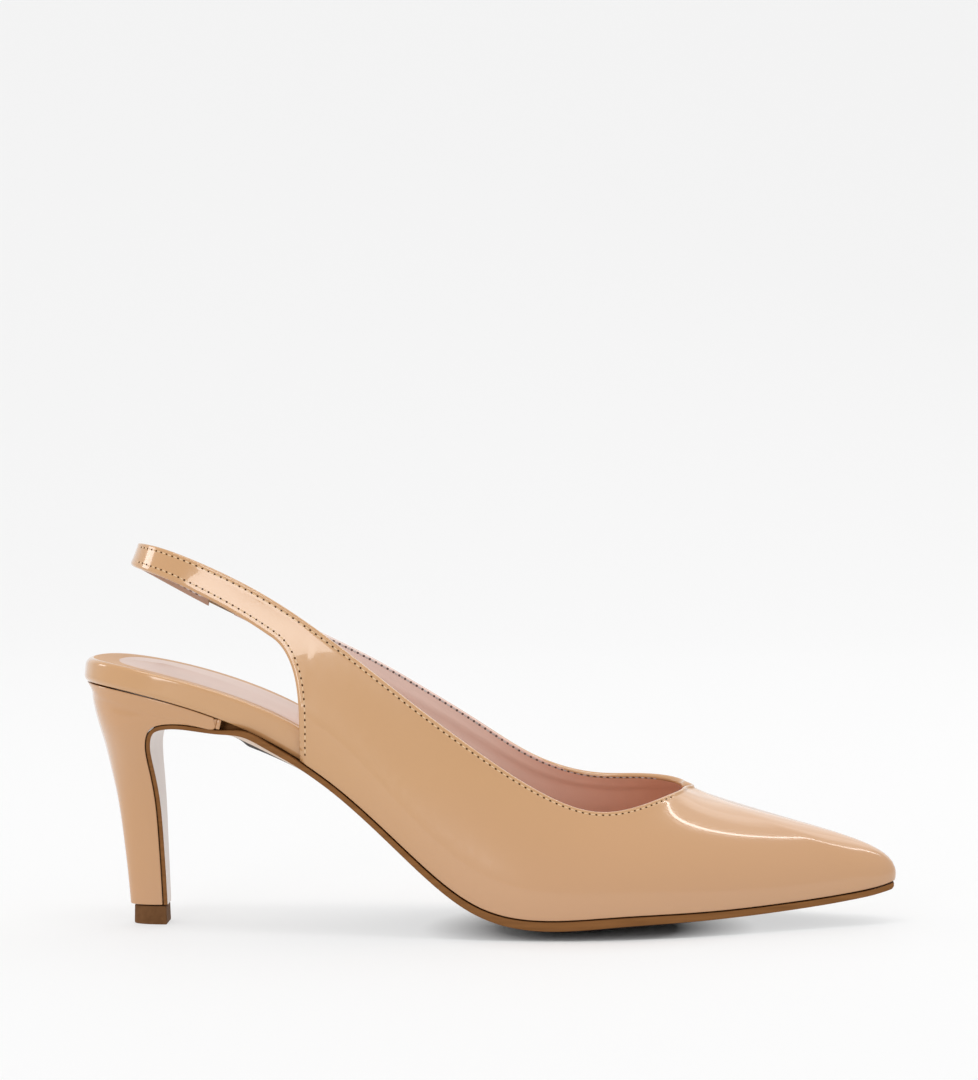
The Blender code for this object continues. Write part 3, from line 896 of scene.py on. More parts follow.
@dataclass
class Upper:
    """Vamp, quarters and sling strap in one folded-edge shell, with its lining and stitches."""

    last: Last
    wall: float = 1.6 * MM
    outer_corner: float = 0.281
    outer_strap: float = 0.231
    inner_corner: float = 0.285
    inner_strap: float = 0.175
    # Shares of the length and the strap's widths there in millimetres
    outer_widths: Pairs = ((0.231, 10.6), (0.100, 8.3), (0.0, 6.8))
    inner_widths: Pairs = ((0.165, 7.4), (0.133, 8.4), (0.0, 6.8))
    elastic_front: float = 0.165
    elastic_rear: float = 0.133
    corner_power: float = 0.8
    toe_crowding: float = 1.4
    feather_steps: int = 130
    rear_steps: int = 80
    strap_steps: int = 52
    middle_steps: int = 34
    end_points: int = 30
    edge_detail: int = 20
    fold: float = 0.5 * MM
    rear_fold: float = 0.9 * MM
    feather_round: float = 0.2 * MM
    # Distance that stands for no edge nearby
    no_edge: float = 1.0
    groove: float = 0.05 * MM
    groove_width: float = 0.32 * MM
    groove_shift: float = 0.3
    rim: float = 0.55 * MM
    rim_reach: float = 0.11
    rim_middle: float = 0.55
    rim_width: float = 0.45
    rim_inside: float = 0.6
    # Rows that the patent wraps over the top edge, growing between two places along the shoe
    wrap_rows: tuple[int, int] = (1, 8)
    throat: tuple[float, float] = (0.016, 0.030)
    lining_fold: float = 0.4 * MM
    # Shares and places round the loop, then shares, drops and widths in millimetres
    lining_sides: Pairs = ((1.0, -0.45), (0.6, 0.45))
    lining_reach: float = 0.2
    lining_waves: tuple[Triple, ...] = ((0.9, 7.5, 1.7), (-1.0, 4.6, 1.2), (0.8, 20, 4), (-0.8, 14, 3))
    lining_fade: float = 6 * MM
    near_top: float = 0.99
    below_top: float = 0.9
    near_low: float = 0.01
    above_low: float = 0.1
    forward: float = 0.5
    stitch_batch: int = 40
    stitch_segments: tuple[int, int] = (8, 4)
    # Millimetres from an edge of each row beside it, closer where a section is short
    edge_room: float = 2.2
    edge_ladder: tuple[float, ...] = (
        0, 0.05, 0.12, 0.22, 0.36, 0.54, 0.76,
        1.02, 1.32, 1.66, 2.05, 2.5, 3.1, 3.9,
    )
    places: Array = field(init=False)
    lows: Array = field(init=False)

    def __post_init__(self) -> None:
        """Lay out the columns of the pattern from the inner tab round the toe to the strap end."""
        outer = self.cut_columns(self.outer_corner, self.outer_strap, Side.OUTER)
        inner = self.cut_columns(self.inner_corner, self.inner_strap, Side.INNER)
        tab = -self.last.place_of(self.elastic_front)
        end = -self.last.place_of(self.elastic_rear)
        vamp = [column for column in reversed(inner) if tab < column[0] < 0]
        sling = [(2 + place, low) for place, low in reversed(inner) if -1 < place < end]
        start, stop = (tab, self.strap_low(tab)), (2 + end, self.strap_low(end))
        columns = [start, *vamp, *outer, *sling, stop]
        self.places, self.lows = np.array(columns).T

    def strap_low(self, place: float) -> float:
        """Find the lower edge of the strap, which narrows towards the back.

        Args:
            place: Place round the loop.

        Returns:
            Share from 0 at the feather line to 1 at the topline.
        """
        down_side = 1 - abs(1 - place % 2)
        along, widths = np.transpose(self.inner_widths if place % 2 > 1 else self.outer_widths)
        knots = [self.last.place_of(share) for share in along]
        return self.last.share_below_top(place, float(np.interp(down_side, knots, widths)) * MM)

    def cut_columns(self, corner: float, strap: float, side: Side) -> list[tuple[float, float]]:
        """Cut the pattern down one side.

        Args:
            corner: Share of the length where the quarter leaves the feather line.
            strap: Share of the length where its rear edge runs into the strap.
            side: Side of the foot.

        Returns:
            Place round the loop and low share of each column, toe to back.
        """
        sign = side.value
        corner_place, strap_place = self.last.place_of(corner), self.last.place_of(strap)
        even = np.linspace(0, 1, self.feather_steps + 1) ** self.toe_crowding
        columns = [(sign * place, 0.0) for place in corner_place * even]
        for angle in quarter_turn(self.rear_steps + 1)[1:]:
            back = (strap_place - corner_place) * max(math.cos(angle), 0.0) ** self.corner_power
            place = sign * (strap_place - back)
            columns.append((place, math.sin(angle) ** self.corner_power * self.strap_low(place)))
        for place in sign * np.linspace(strap_place, 1, self.strap_steps + 1)[1:]:
            columns.append((place, self.strap_low(place)))
        return columns

    def stations(self) -> Array:
        """Lay out the rows of each column, low edge to topline, crowded at both edges.

        Returns:
            Shares of the sections, columns by rows.
        """
        shares, lengths = self.last.drops(self.places)
        rows = []
        ladder = np.array(self.edge_ladder) * MM
        for low, length in zip(self.lows, lengths):
            whole = np.interp(-low, -shares, length)
            edge = ladder * min(1.0, whole / (self.edge_room * ladder[-1]))
            middle = np.linspace(edge[-1], whole - edge[-1], self.middle_steps + 1)[1:-1]
            drop = np.concatenate([edge, middle, whole - edge[::-1]])
            rows.append(np.interp(drop[::-1], length, shares))
        return np.array(rows)

    def rear_cuts(self) -> tuple[slice, slice]:
        """Find the columns that are cut above the feather line.

        Returns:
            Those of the inner tab, and the outer ones with the strap.
        """
        cut = self.lows > 0
        inner = int(np.argmin(cut))
        outer = len(cut) - int(np.argmin(cut[::-1]))
        return slice(0, inner + 1), slice(outer - 1, None)

    def edge_lines(self) -> list[Array]:
        """Trace the cut edges.

        Returns:
            Points along the topline, the edges behind the quarters and both ends.
        """
        lines = [self.last.point(self.places, np.ones_like(self.places))]
        lines += [self.last.point(self.places[cut], self.lows[cut]) for cut in self.rear_cuts()]
        for end in (0, -1):
            shares = np.linspace(self.lows[end], 1, self.end_points)
            lines.append(self.last.point(np.full(self.end_points, self.places[end]), shares))
        return lines

    def edge_distance(self, points: Array, lines: Sequence[Array]) -> Array:
        """Measure how far points on the last are from some lines.

        Args:
            points: Points, on the last axis.
            lines: Points along each line.

        Returns:
            Distance of each point to the nearest line.
        """
        dense = []
        for line in lines:
            steps = np.linspace(0, len(line) - 1, self.edge_detail * (len(line) - 1) + 1)
            whole = np.minimum(steps.astype(int), len(line) - 2)
            part = (steps - whole)[:, None]
            dense.append(line[whole] * (1 - part) + line[whole + 1] * part)
        every = np.vstack(dense)
        tree = KDTree(len(every))
        for index, point in enumerate(every):
            tree.insert(point, index)
        tree.balance()
        flat = points.reshape(-1, 3)
        return np.array([tree.find(point)[2] for point in flat]).reshape(points.shape[:-1])

    def rounded(self, distance: Array, reach: float) -> Array:
        """Round the wall beside an edge.

        Args:
            distance: Distances to the edge.
            reach: Distance over which the face drops.

        Returns:
            Drop of the face towards the middle of the wall.
        """
        half = self.wall / 2
        inside = np.clip(1 - distance / reach, 0, 1)
        return half * (1 - np.sqrt(1 - inside**2))

    def lining_folds(self, places: Array, drop: Array) -> Array:
        """Lay soft long folds into the lining along both sides.

        Args:
            places: Places round the loop.
            drop: Lengths below the topline.

        Returns:
            Heights of the folds.
        """
        sides = sum(share * bump(places, middle, self.lining_reach) for share, middle in self.lining_sides)
        waves = sum(share * bump(drop, low * MM, width * MM) for share, low, width in self.lining_waves)
        return self.lining_fold * sides * waves

    def build(self) -> None:
        """Make the shell and its stitches."""
        shares = self.stations()
        grid = np.broadcast_to(self.places[:, None], shares.shape)
        points = self.last.point(grid, shares)
        normals = self.last.normal(grid, shares)
        lines = self.edge_lines()
        top = self.edge_distance(points, lines[:1])
        rear = self.edge_distance(points, lines[1:])
        steps = np.linalg.norm(np.diff(points, axis=1), axis=2)
        climb = np.hstack([np.zeros((len(points), 1)), np.cumsum(steps, axis=1)])
        drop = climb[:, -1:] - climb
        feather = np.where(self.lows[:, None] > 0, self.no_edge, climb)
        nearest = np.minimum(np.minimum(top, rear), feather)
        turned = np.maximum(self.rounded(top, self.fold), self.rounded(rear, self.rear_fold))
        turned = np.maximum(turned, self.rounded(feather, self.feather_round))
        rim = bump(grid, 0, self.rim_reach)
        inset = FACE_SEAM.top_inset
        ridge = self.rim * rim * bump(top, self.rim_middle * inset, self.rim_width * inset)
        middle = inset * (1 + self.groove_shift * rim)
        ridge -= self.groove * (1 + rim) * bump(top, middle, self.groove_width)
        folds = self.lining_folds(grid, drop) * np.clip(nearest / self.lining_fade, 0, 1)
        back = -self.wall + turned + folds - self.rim_inside * ridge * (nearest > self.fold)
        outer = points + (ridge - turned)[..., None] * normals
        inner = points + back[..., None] * normals
        shell = np.concatenate([outer, inner[:, ::-1]], axis=1)
        wraps = np.interp(points[:, -1, 0], self.throat, self.wrap_rows)
        turns = (shares.shape[1] + wraps) / (shell.shape[1] - 1)

        def slot(column: float, row: float) -> int:
            """Slot of a face: 0 for the patent and 1 for the lining."""
            return int(row >= turns[round(column * (len(turns) - 1))])

        mesh = on_grid(shell, slot)
        bmesh.ops.recalc_face_normals(mesh, faces=mesh.faces)
        make_piece("upper_shell", mesh, (PATENT, LINING), "upper", crease=80)
        for seam in (FACE_SEAM, LINING_SEAM):
            face = on_grid(inner if seam.inside else outer)
            self.sew(seam, BVHTree.FromBMesh(face))
            face.free()

    @staticmethod
    def stitch_line(
        line: Array, inward: Array, inset: float, pitch: float, tree: BVHTree
    ) -> tuple[Array, Array]:
        """Walk along an edge at the stitch inset.

        Args:
            line: Points along the edge.
            inward: Rough directions from the edge into the leather.
            inset: Distance of the stitches from the edge.
            pitch: Length of a stitch.
            tree: Face that the stitches lie on.

        Returns:
            Points one pitch apart, and the face's normals there.
        """
        travel = unit(np.gradient(line, axis=0))
        aside = unit(inward - np.sum(inward * travel, axis=1, keepdims=True) * travel)
        path = np.array([tree.find_nearest(Vector(point))[0] for point in line + inset * aside])
        length = running_length(path)
        marks = np.arange(pitch, length[-1] - pitch / 2, pitch)
        spots = np.column_stack([np.interp(marks, length, path[:, axis]) for axis in range(3)])
        hits = [tree.find_nearest(Vector(spot)) for spot in spots]
        return np.array([hit[0] for hit in hits]), np.array([hit[1] for hit in hits])

    def sew(self, seam: Seam, tree: BVHTree) -> None:
        """Lay the stitches along the topline and the edges behind the quarters.

        Args:
            seam: Sizes and finishes of the stitches.
            tree: Face that the stitches lie on.
        """
        pairs = []
        for index, (line, pick) in enumerate(zip(self.edge_lines(), (slice(None), *self.rear_cuts()))):
            places, lows = self.places[pick], self.lows[pick]
            if index == 0:
                inset, shares = seam.top_inset, np.full_like(places, self.near_top)
                inward = self.last.point(places, np.full_like(places, self.below_top)) - line
            else:
                inset, shares = seam.rear_inset, np.clip(lows, self.near_low, self.near_top)
                inward = unit(self.last.point(places, lows + self.above_low) - line)
                inward = inward + np.array([self.forward, 0, 0])
            if seam.inside:
                line = line - self.wall * self.last.normal(places, shares)
            pairs += self.stitch_run(seam, *self.stitch_line(line, inward, inset, seam.pitch, tree))
        threads, holes = zip(*pairs)
        make_piece(f"{seam.name}_threads", self.stamp(threads), (seam.thread,))
        make_piece(f"{seam.name}_holes", self.stamp(holes), (seam.hole,))

    @staticmethod
    def stitch_run(seam: Seam, spots: Array, normals: Array) -> list[tuple[Matrix, Matrix]]:
        """Lay one thread between each two needle holes.

        Args:
            seam: Sizes of the stitches.
            spots: Needle holes.
            normals: Normals of the face there.

        Returns:
            Place of a thread and of the hole at its start, as matrices of a ball of radius one.
        """
        pairs = []
        for here, there, up in zip(spots, spots[1:], normals):
            along, lift = Vector(there - here), Vector(up)
            if along.length > seam.longest * seam.pitch or not seam.end < here[0] < seam.front:
                continue
            axes = Matrix((along.normalized(), lift.cross(along).normalized(), lift))
            axes = axes.transposed().to_4x4()
            middle = Matrix.Translation(Vector((here + there) / 2) + lift * seam.lift)
            spot = Matrix.Translation(Vector(here) - lift * seam.lift)
            length = max(along.length / 2 - seam.hole_half, seam.shortest)
            thread = Matrix.Diagonal((length, seam.thread_half, seam.thread_rise, 1))
            hole = Matrix.Diagonal((seam.hole_half, seam.hole_half * seam.hole_shape, seam.hole_rise, 1))
            pairs.append((middle @ axes @ thread, spot @ axes @ hole))
        return pairs

    def stamp(self, matrices: Sequence[Matrix]) -> Mesh:
        """Make one small ball for each matrix, a batch at a time.

        Args:
            matrices: Place of each ball of radius one.

        Returns:
            One mesh of all the balls.
        """
        whole = bmesh.new()
        round_steps, rise_steps = self.stitch_segments
        for start in range(0, len(matrices), self.stitch_batch):
            batch = bmesh.new()
            for matrix in matrices[start : start + self.stitch_batch]:
                bmesh.ops.create_uvsphere(
                    batch, u_segments=round_steps, v_segments=rise_steps, radius=1, matrix=matrix
                )
            data = bpy.data.meshes.new("batch")
            batch.to_mesh(data)
            batch.free()
            whole.from_mesh(data)
            bpy.data.meshes.remove(data)
        return whole


@dataclass
class Elastic:
    """Ribbed band that joins the strap end to the inner tab."""

    upper: Upper
    width: float = 6.0 * MM
    drop: float = 4.1 * MM
    wall: float = 1.0 * MM
    tuck: float = 1.0 * MM
    ribs: int = 9
    rib_depth: float = 0.09 * MM
    rib_steps: int = 6
    steps: int = 24

    def build(self) -> None:
        """Make the band."""
        last, upper = self.upper.last, self.upper
        inset = self.tuck / last.length
        front = 2 - last.place_of(upper.elastic_front) + inset
        rear = 2 - last.place_of(upper.elastic_rear) - inset
        places = np.linspace(rear, front, self.steps + 1)
        across = np.linspace(-0.5, 0.5, self.rib_steps * self.ribs + 1)
        drops = self.drop - across * self.width
        shares, lengths = last.drops(places)
        rows = np.array([np.interp(drops, length, shares) for length in lengths])
        grid = np.broadcast_to(places[:, None], rows.shape)
        points, normals = last.point(grid, rows), last.normal(grid, rows)
        rib = self.rib_depth * np.abs(np.sin(across * math.pi * self.ribs))[None, :, None]
        depth = (upper.wall - self.wall) / 2
        face = points - (depth + self.rib_depth - rib) * normals
        back = points - (depth + self.wall - self.rib_depth + rib) * normals
        loop = np.concatenate([face, back[:, ::-1], face[:, :1]], axis=1)
        mesh = on_grid(loop)
        close_ends(mesh)
        make_piece("elastic_band", mesh, (ELASTIC_FINISH,), "elastic")


@dataclass
class Footbed:
    """Covered insole with its rolled rand, and the sock on it."""

    last: Last
    wall: float = 1.6 * MM
    seam: float = 0.3 * MM
    roll: float = 1.1 * MM
    back_roll: float = 2.5 * MM
    back_reach: float = 0.05
    roll_limit: float = 0.6
    roll_rows: int = 10
    top_start: float = 3.0
    side_rows: int = 8
    upright_rows: tuple[float, ...] = (0.25, 0.5, 0.75)
    tuck: float = 0.9 * MM
    tuck_share: float = 0.22
    sink: float = 0.24 * MM
    under_insets: Triple = (12 * MM, 6 * MM, 3 * MM)
    sock_margin: float = 3.4 * MM
    sock_back: float = 2.0 * MM
    sock_lift: float = 0.04 * MM
    sock_edge: float = 0.16 * MM
    sock_round: float = 0.6 * MM
    sock_round_rows: int = 5
    sock_crown: float = 1.1 * MM
    sock_under: tuple[float, float] = (10 * MM, 4 * MM)
    # Insets in millimetres, with heights in millimetres and with shares of the crown
    pressed: Pairs = ((1.3, 0.0), (1.7, -0.08), (2.1, 0.0))
    swell: Pairs = ((4, 0.55), (7, 0.8), (12, 0.95))
    spine: tuple[float, float] = (0.05, 0.94)
    sock_spine: tuple[float, float] = (0.08, 0.86)
    top_rows: range = range(24, 27)
    rim_rows: range = range(2, 6)
    columns: int = 280
    merge: float = 0.02 * MM

    def frame_at(self, places: Array, spine: tuple[float, float]) -> tuple[Array, Array, Array, Array]:
        """Edge of the board round the loop.

        Args:
            places: Places round the loop.
            spine: Places of the ends of the spine.

        Returns:
            Edge points, directions to the spine with their full length, lifts across the board and the
            board's thickness.
        """
        side = 1 - np.abs(1 - places % 2)
        middle = spine[0] + (spine[1] - spine[0]) * side
        centre = (self.last.outline.at(middle) + self.last.outline.at(2 - middle)) / 2
        edge = self.last.outline.at(places) - (self.wall + self.seam) * self.last.outward(places)
        board = self.last.layers.at(side)[:, 2]
        return edge, centre - edge, across_profile(self.last.travel(middle)), board

    def sweep(
        self,
        spine: tuple[float, float],
        section: Callable[[float, float], Sequence[tuple[float, float]]],
        marked: range,
    ) -> Mesh:
        """Sweep half sections round the loop.

        Args:
            spine: Places of the ends of the spine.
            section: Insets and heights of a half section, for a board's thickness and for how near the
                back it is; an inset of infinity is the spine.
            marked: Rows of the section that take the second material slot.

        Returns:
            The closed mesh.
        """
        places = np.linspace(0, 2, self.columns + 1)
        rears = bump(places, 1, self.back_reach)
        rows = []
        for rear, edge, span, lift, board in zip(rears, *self.frame_at(places, spine)):
            reach = float(np.linalg.norm(span))
            row = []
            for inset, height in section(board, rear):
                share = min(inset / reach, 1.0)
                row.append(edge + share * span + height * lift)
            rows.append(row)
        points = np.array(rows)

        def slot(_: float, row: float) -> int:
            """Slot of a face: 1 on the marked rows."""
            return int(int(row * (points.shape[1] - 1)) in marked)

        mesh = on_grid(points, slot)
        bmesh.ops.remove_doubles(mesh, verts=mesh.verts, dist=self.merge)
        close_ends(mesh)
        return mesh

    def rand_section(self, board: float, rear: float) -> list[tuple[float, float]]:
        """Half section of the covered insole: tucked foot, upright side, rolled edge and flat top.

        Args:
            board: Thickness of the board.
            rear: How near the back it is, from 0 to 1.

        Returns:
            Insets from the edge and heights.
        """
        roll = min(self.roll + (self.back_roll - self.roll) * rear, self.roll_limit * board)
        foot = board * self.tuck_share
        wide, middle, narrow = self.under_insets
        under = [(inset, -self.sink) for inset in (math.inf, wide, middle)] + [(narrow, 0.0)]
        rows = np.linspace(0, 1, self.side_rows)
        side = [(self.tuck * (1 - share) ** 2, foot * share) for share in rows]
        upright = [(0.0, foot + (board - roll - foot) * share) for share in self.upright_rows]
        turn = quarter_turn(self.roll_rows)
        rolled = [(roll * (1 - math.cos(angle)), board - roll * (1 - math.sin(angle))) for angle in turn]
        top = [(inset, board) for inset in (self.top_start * roll, wide, math.inf)]
        return under + side + upright + rolled + top

    def sock_section(self, board: float, rear: float) -> list[tuple[float, float]]:
        """Half section of the sock: thin skived edge, pressed line and a crowned top.

        Args:
            board: Thickness of the board.
            rear: How near the back it is, from 0 to 1.

        Returns:
            Insets from the edge and heights.
        """
        start = self.sock_margin + self.sock_back * rear
        low = board + self.sock_lift
        under = [(math.inf, low), *((start + inset, low) for inset in self.sock_under)]
        turn = quarter_turn(self.sock_round_rows)
        rise = low + self.sock_edge * np.sin(turn)
        edge = list(zip(self.sock_round * (1 - np.cos(turn)), rise))
        pressed = [(inset * MM, low + self.sock_edge + height * MM) for inset, height in self.pressed]
        swell = [(inset * MM, low + self.sock_crown * share) for inset, share in self.swell]
        top = [(start + inset, height) for inset, height in edge + pressed + swell]
        return under + top + [(math.inf, low + self.sock_crown)]

    def build(self) -> None:
        """Make the rand and the sock."""
        board = self.sweep(self.spine, self.rand_section, self.top_rows)
        make_piece("covered_insole", board, (RAND_PATENT, RAND_TOP), "insole")
        sock = self.sweep(self.sock_spine, self.sock_section, self.rim_rows)
        make_piece("sock_lining", sock, (SOCK, SOCK_RIM), "sock")


@dataclass
class Heel:
    """Covered heel, its folded lip and the top piece."""

    last: Last
    rand_back: float = -121.5 * MM
    margin: float = 2.7 * MM
    seat_gap: float = 0.8 * MM
    seam: float = 0.3 * MM
    seat_from: float = 0.6
    tip_power: float = 0.9
    side_steps: int = 56
    breast_steps: int = 10
    levels: int = 90
    corner_round: float = 0.7 * MM
    tip: Triple = (13.9 * MM, 24.3 * MM, 5.2 * MM)
    tip_height: float = 5.6 * MM
    tip_levels: int = 7
    tip_draft: float = 0.03
    tip_round: float = 0.35 * MM
    folds: Pairs = ((0.2 * MM, 1.0 * MM), (1.35 * MM, 1.3 * MM))
    fold_size: tuple[float, float] = (1.2 * MM, 3.0 * MM)
    fold_round: float = 0.35 * MM
    fold_tilt: float = 14.0
    fold_inset: float = 0.3
    fold_fall: float = 0.2
    round_steps: int = 3
    round_angle: float = 50.0

    def d_shape(self, front: float, back: float, half: float, power: float) -> tuple[Array, Array]:
        """Draw a D: flat at the front, round at the back.

        Args:
            front: Place of the flat side.
            back: Place of the round end.
            half: Half width.
            power: How square the turn is.

        Returns:
            Distances along and across.
        """
        turn = np.linspace(-math.pi / 2, math.pi / 2, self.side_steps + 1)
        along = front + (back - front) * np.clip(np.cos(turn), 0, 1) ** power
        across = half * np.sign(turn) * np.abs(np.sin(turn)) ** power
        flat = np.linspace(half, -half, self.breast_steps + 1)[1:]
        return np.append(along, np.full(len(flat), front)), np.append(across, flat)

    def seat(self, reach: Array) -> tuple[Array, Array, Array]:
        """Measure the seat.

        Args:
            reach: Distances along the shoe.

        Returns:
            Half widths on the outer and on the inner side, and heights.
        """
        places = np.linspace(self.seat_from, 1, self.last.fine_samples)
        halves = []
        for side in (places, 2 - places):
            edge = self.last.outline.at(side) - self.margin * self.last.outward(side)
            halves.append(np.interp(-reach, -edge[:, 0], np.abs(edge[:, 1])))
        points = self.last.outline.at(places)
        return halves[0], halves[1], np.interp(-reach, -points[:, 0], points[:, 2])

    def rings(self) -> Array:
        """Stack the rings of the heel from the tip to the seat.

        Returns:
            Points, levels by ring by 3.
        """
        rings = []
        for back, back_height, front, front_height, half, power in zip(*HEEL.values()):
            along, across = self.d_shape(front * MM, back * MM, half * MM, power)
            share = (along - front * MM) / ((back - front) * MM)
            height = (front_height + (back_height - front_height) * share) * self.last.heel_height
            rings.append(np.column_stack([self.rand_back + along, across, height]))
        lip = HEEL["front"][-1] * MM
        along, across = self.d_shape(lip, self.seat_gap, 1.0, HEEL["power"][-1])
        reach = self.rand_back + along
        outer, inner, height = self.seat(reach)
        flat = np.sign(across) * np.where(np.isclose(along, lip), np.abs(across), 1)
        width = np.where(across < 0, outer, inner) * flat
        width[self.side_steps // 2] = 0
        rings.append(np.column_stack([reach, width, height - self.seam]))
        levels = Spline(range(len(rings)), np.reshape(rings, (len(rings), -1)))
        places = np.linspace(0, len(rings) - 1, self.levels + 1)
        return levels.at(places).reshape(len(places), -1, 3)

    def build(self) -> None:
        """Make the heel and the top piece."""
        mesh = on_grid(self.rings())
        close_ends(mesh)
        heel = make_piece("covered_heel", mesh, (HEEL_PATENT,), "heel", crease=35)
        self.soften(heel, self.corner_round)
        self.fold_lip()
        back, front, half = self.tip
        along, across = self.d_shape(front, back, half, self.tip_power)
        middle = (front + back) / 2
        rings = []
        for height in np.linspace(0, self.tip_height, self.tip_levels):
            grow = 1 - self.tip_draft * height / self.tip_height
            reach = self.rand_back + middle + (along - middle) * grow
            rings.append(np.column_stack([reach, across * grow, np.full(len(along), height)]))
        mesh = on_grid(np.array(rings))
        close_ends(mesh)
        finishes = (TOP_PIECE_FINISH,)
        top_piece = make_piece("wear_piece", mesh, finishes, "top_piece", crease=35)
        self.soften(top_piece, self.tip_round)

    def fold_lip(self) -> None:
        """Fold the cover round both ends of the lip."""
        row = {name: column[-1] for name, column in HEEL.items()}
        lip = self.rand_back + row["front"] * MM
        under = row["front_height"] * self.last.heel_height
        seat = float(self.seat(np.array([lip]))[2][0]) - self.seam
        thick, tall = self.fold_size
        tilt = Matrix.Rotation(math.radians(self.fold_tilt), 4, "Y")
        mesh = bmesh.new()
        for side in Side:
            across = -side.value * (row["half_width"] * MM - self.fold_inset * thick)
            for ahead, wide in self.folds:
                height = (under + seat) / 2 - self.fold_fall * ahead
                place = Matrix.Translation((lip + ahead, across, height))
                size = Matrix.Diagonal((wide, thick, tall, 1))
                bmesh.ops.create_cube(mesh, size=1, matrix=place @ tilt @ size)
        bmesh.ops.bevel(
            mesh,
            geom=mesh.edges[:],
            offset=self.fold_round,
            segments=self.round_steps,
            profile=0.5,
            affect="EDGES",
            material=-1,
        )
        make_piece("lip_folds", mesh, (HEEL_PATENT,))

    def soften(self, piece: bpy.types.Object, width: float) -> None:
        """Round the sharp edges of a piece.

        Args:
            piece: Piece to soften.
            width: Width of the rounding.
        """
        edge = piece.modifiers.new("soft_edge", "BEVEL")
        edge.width = width
        edge.segments = self.round_steps
        edge.limit_method = "ANGLE"
        edge.angle_limit = math.radians(self.round_angle)


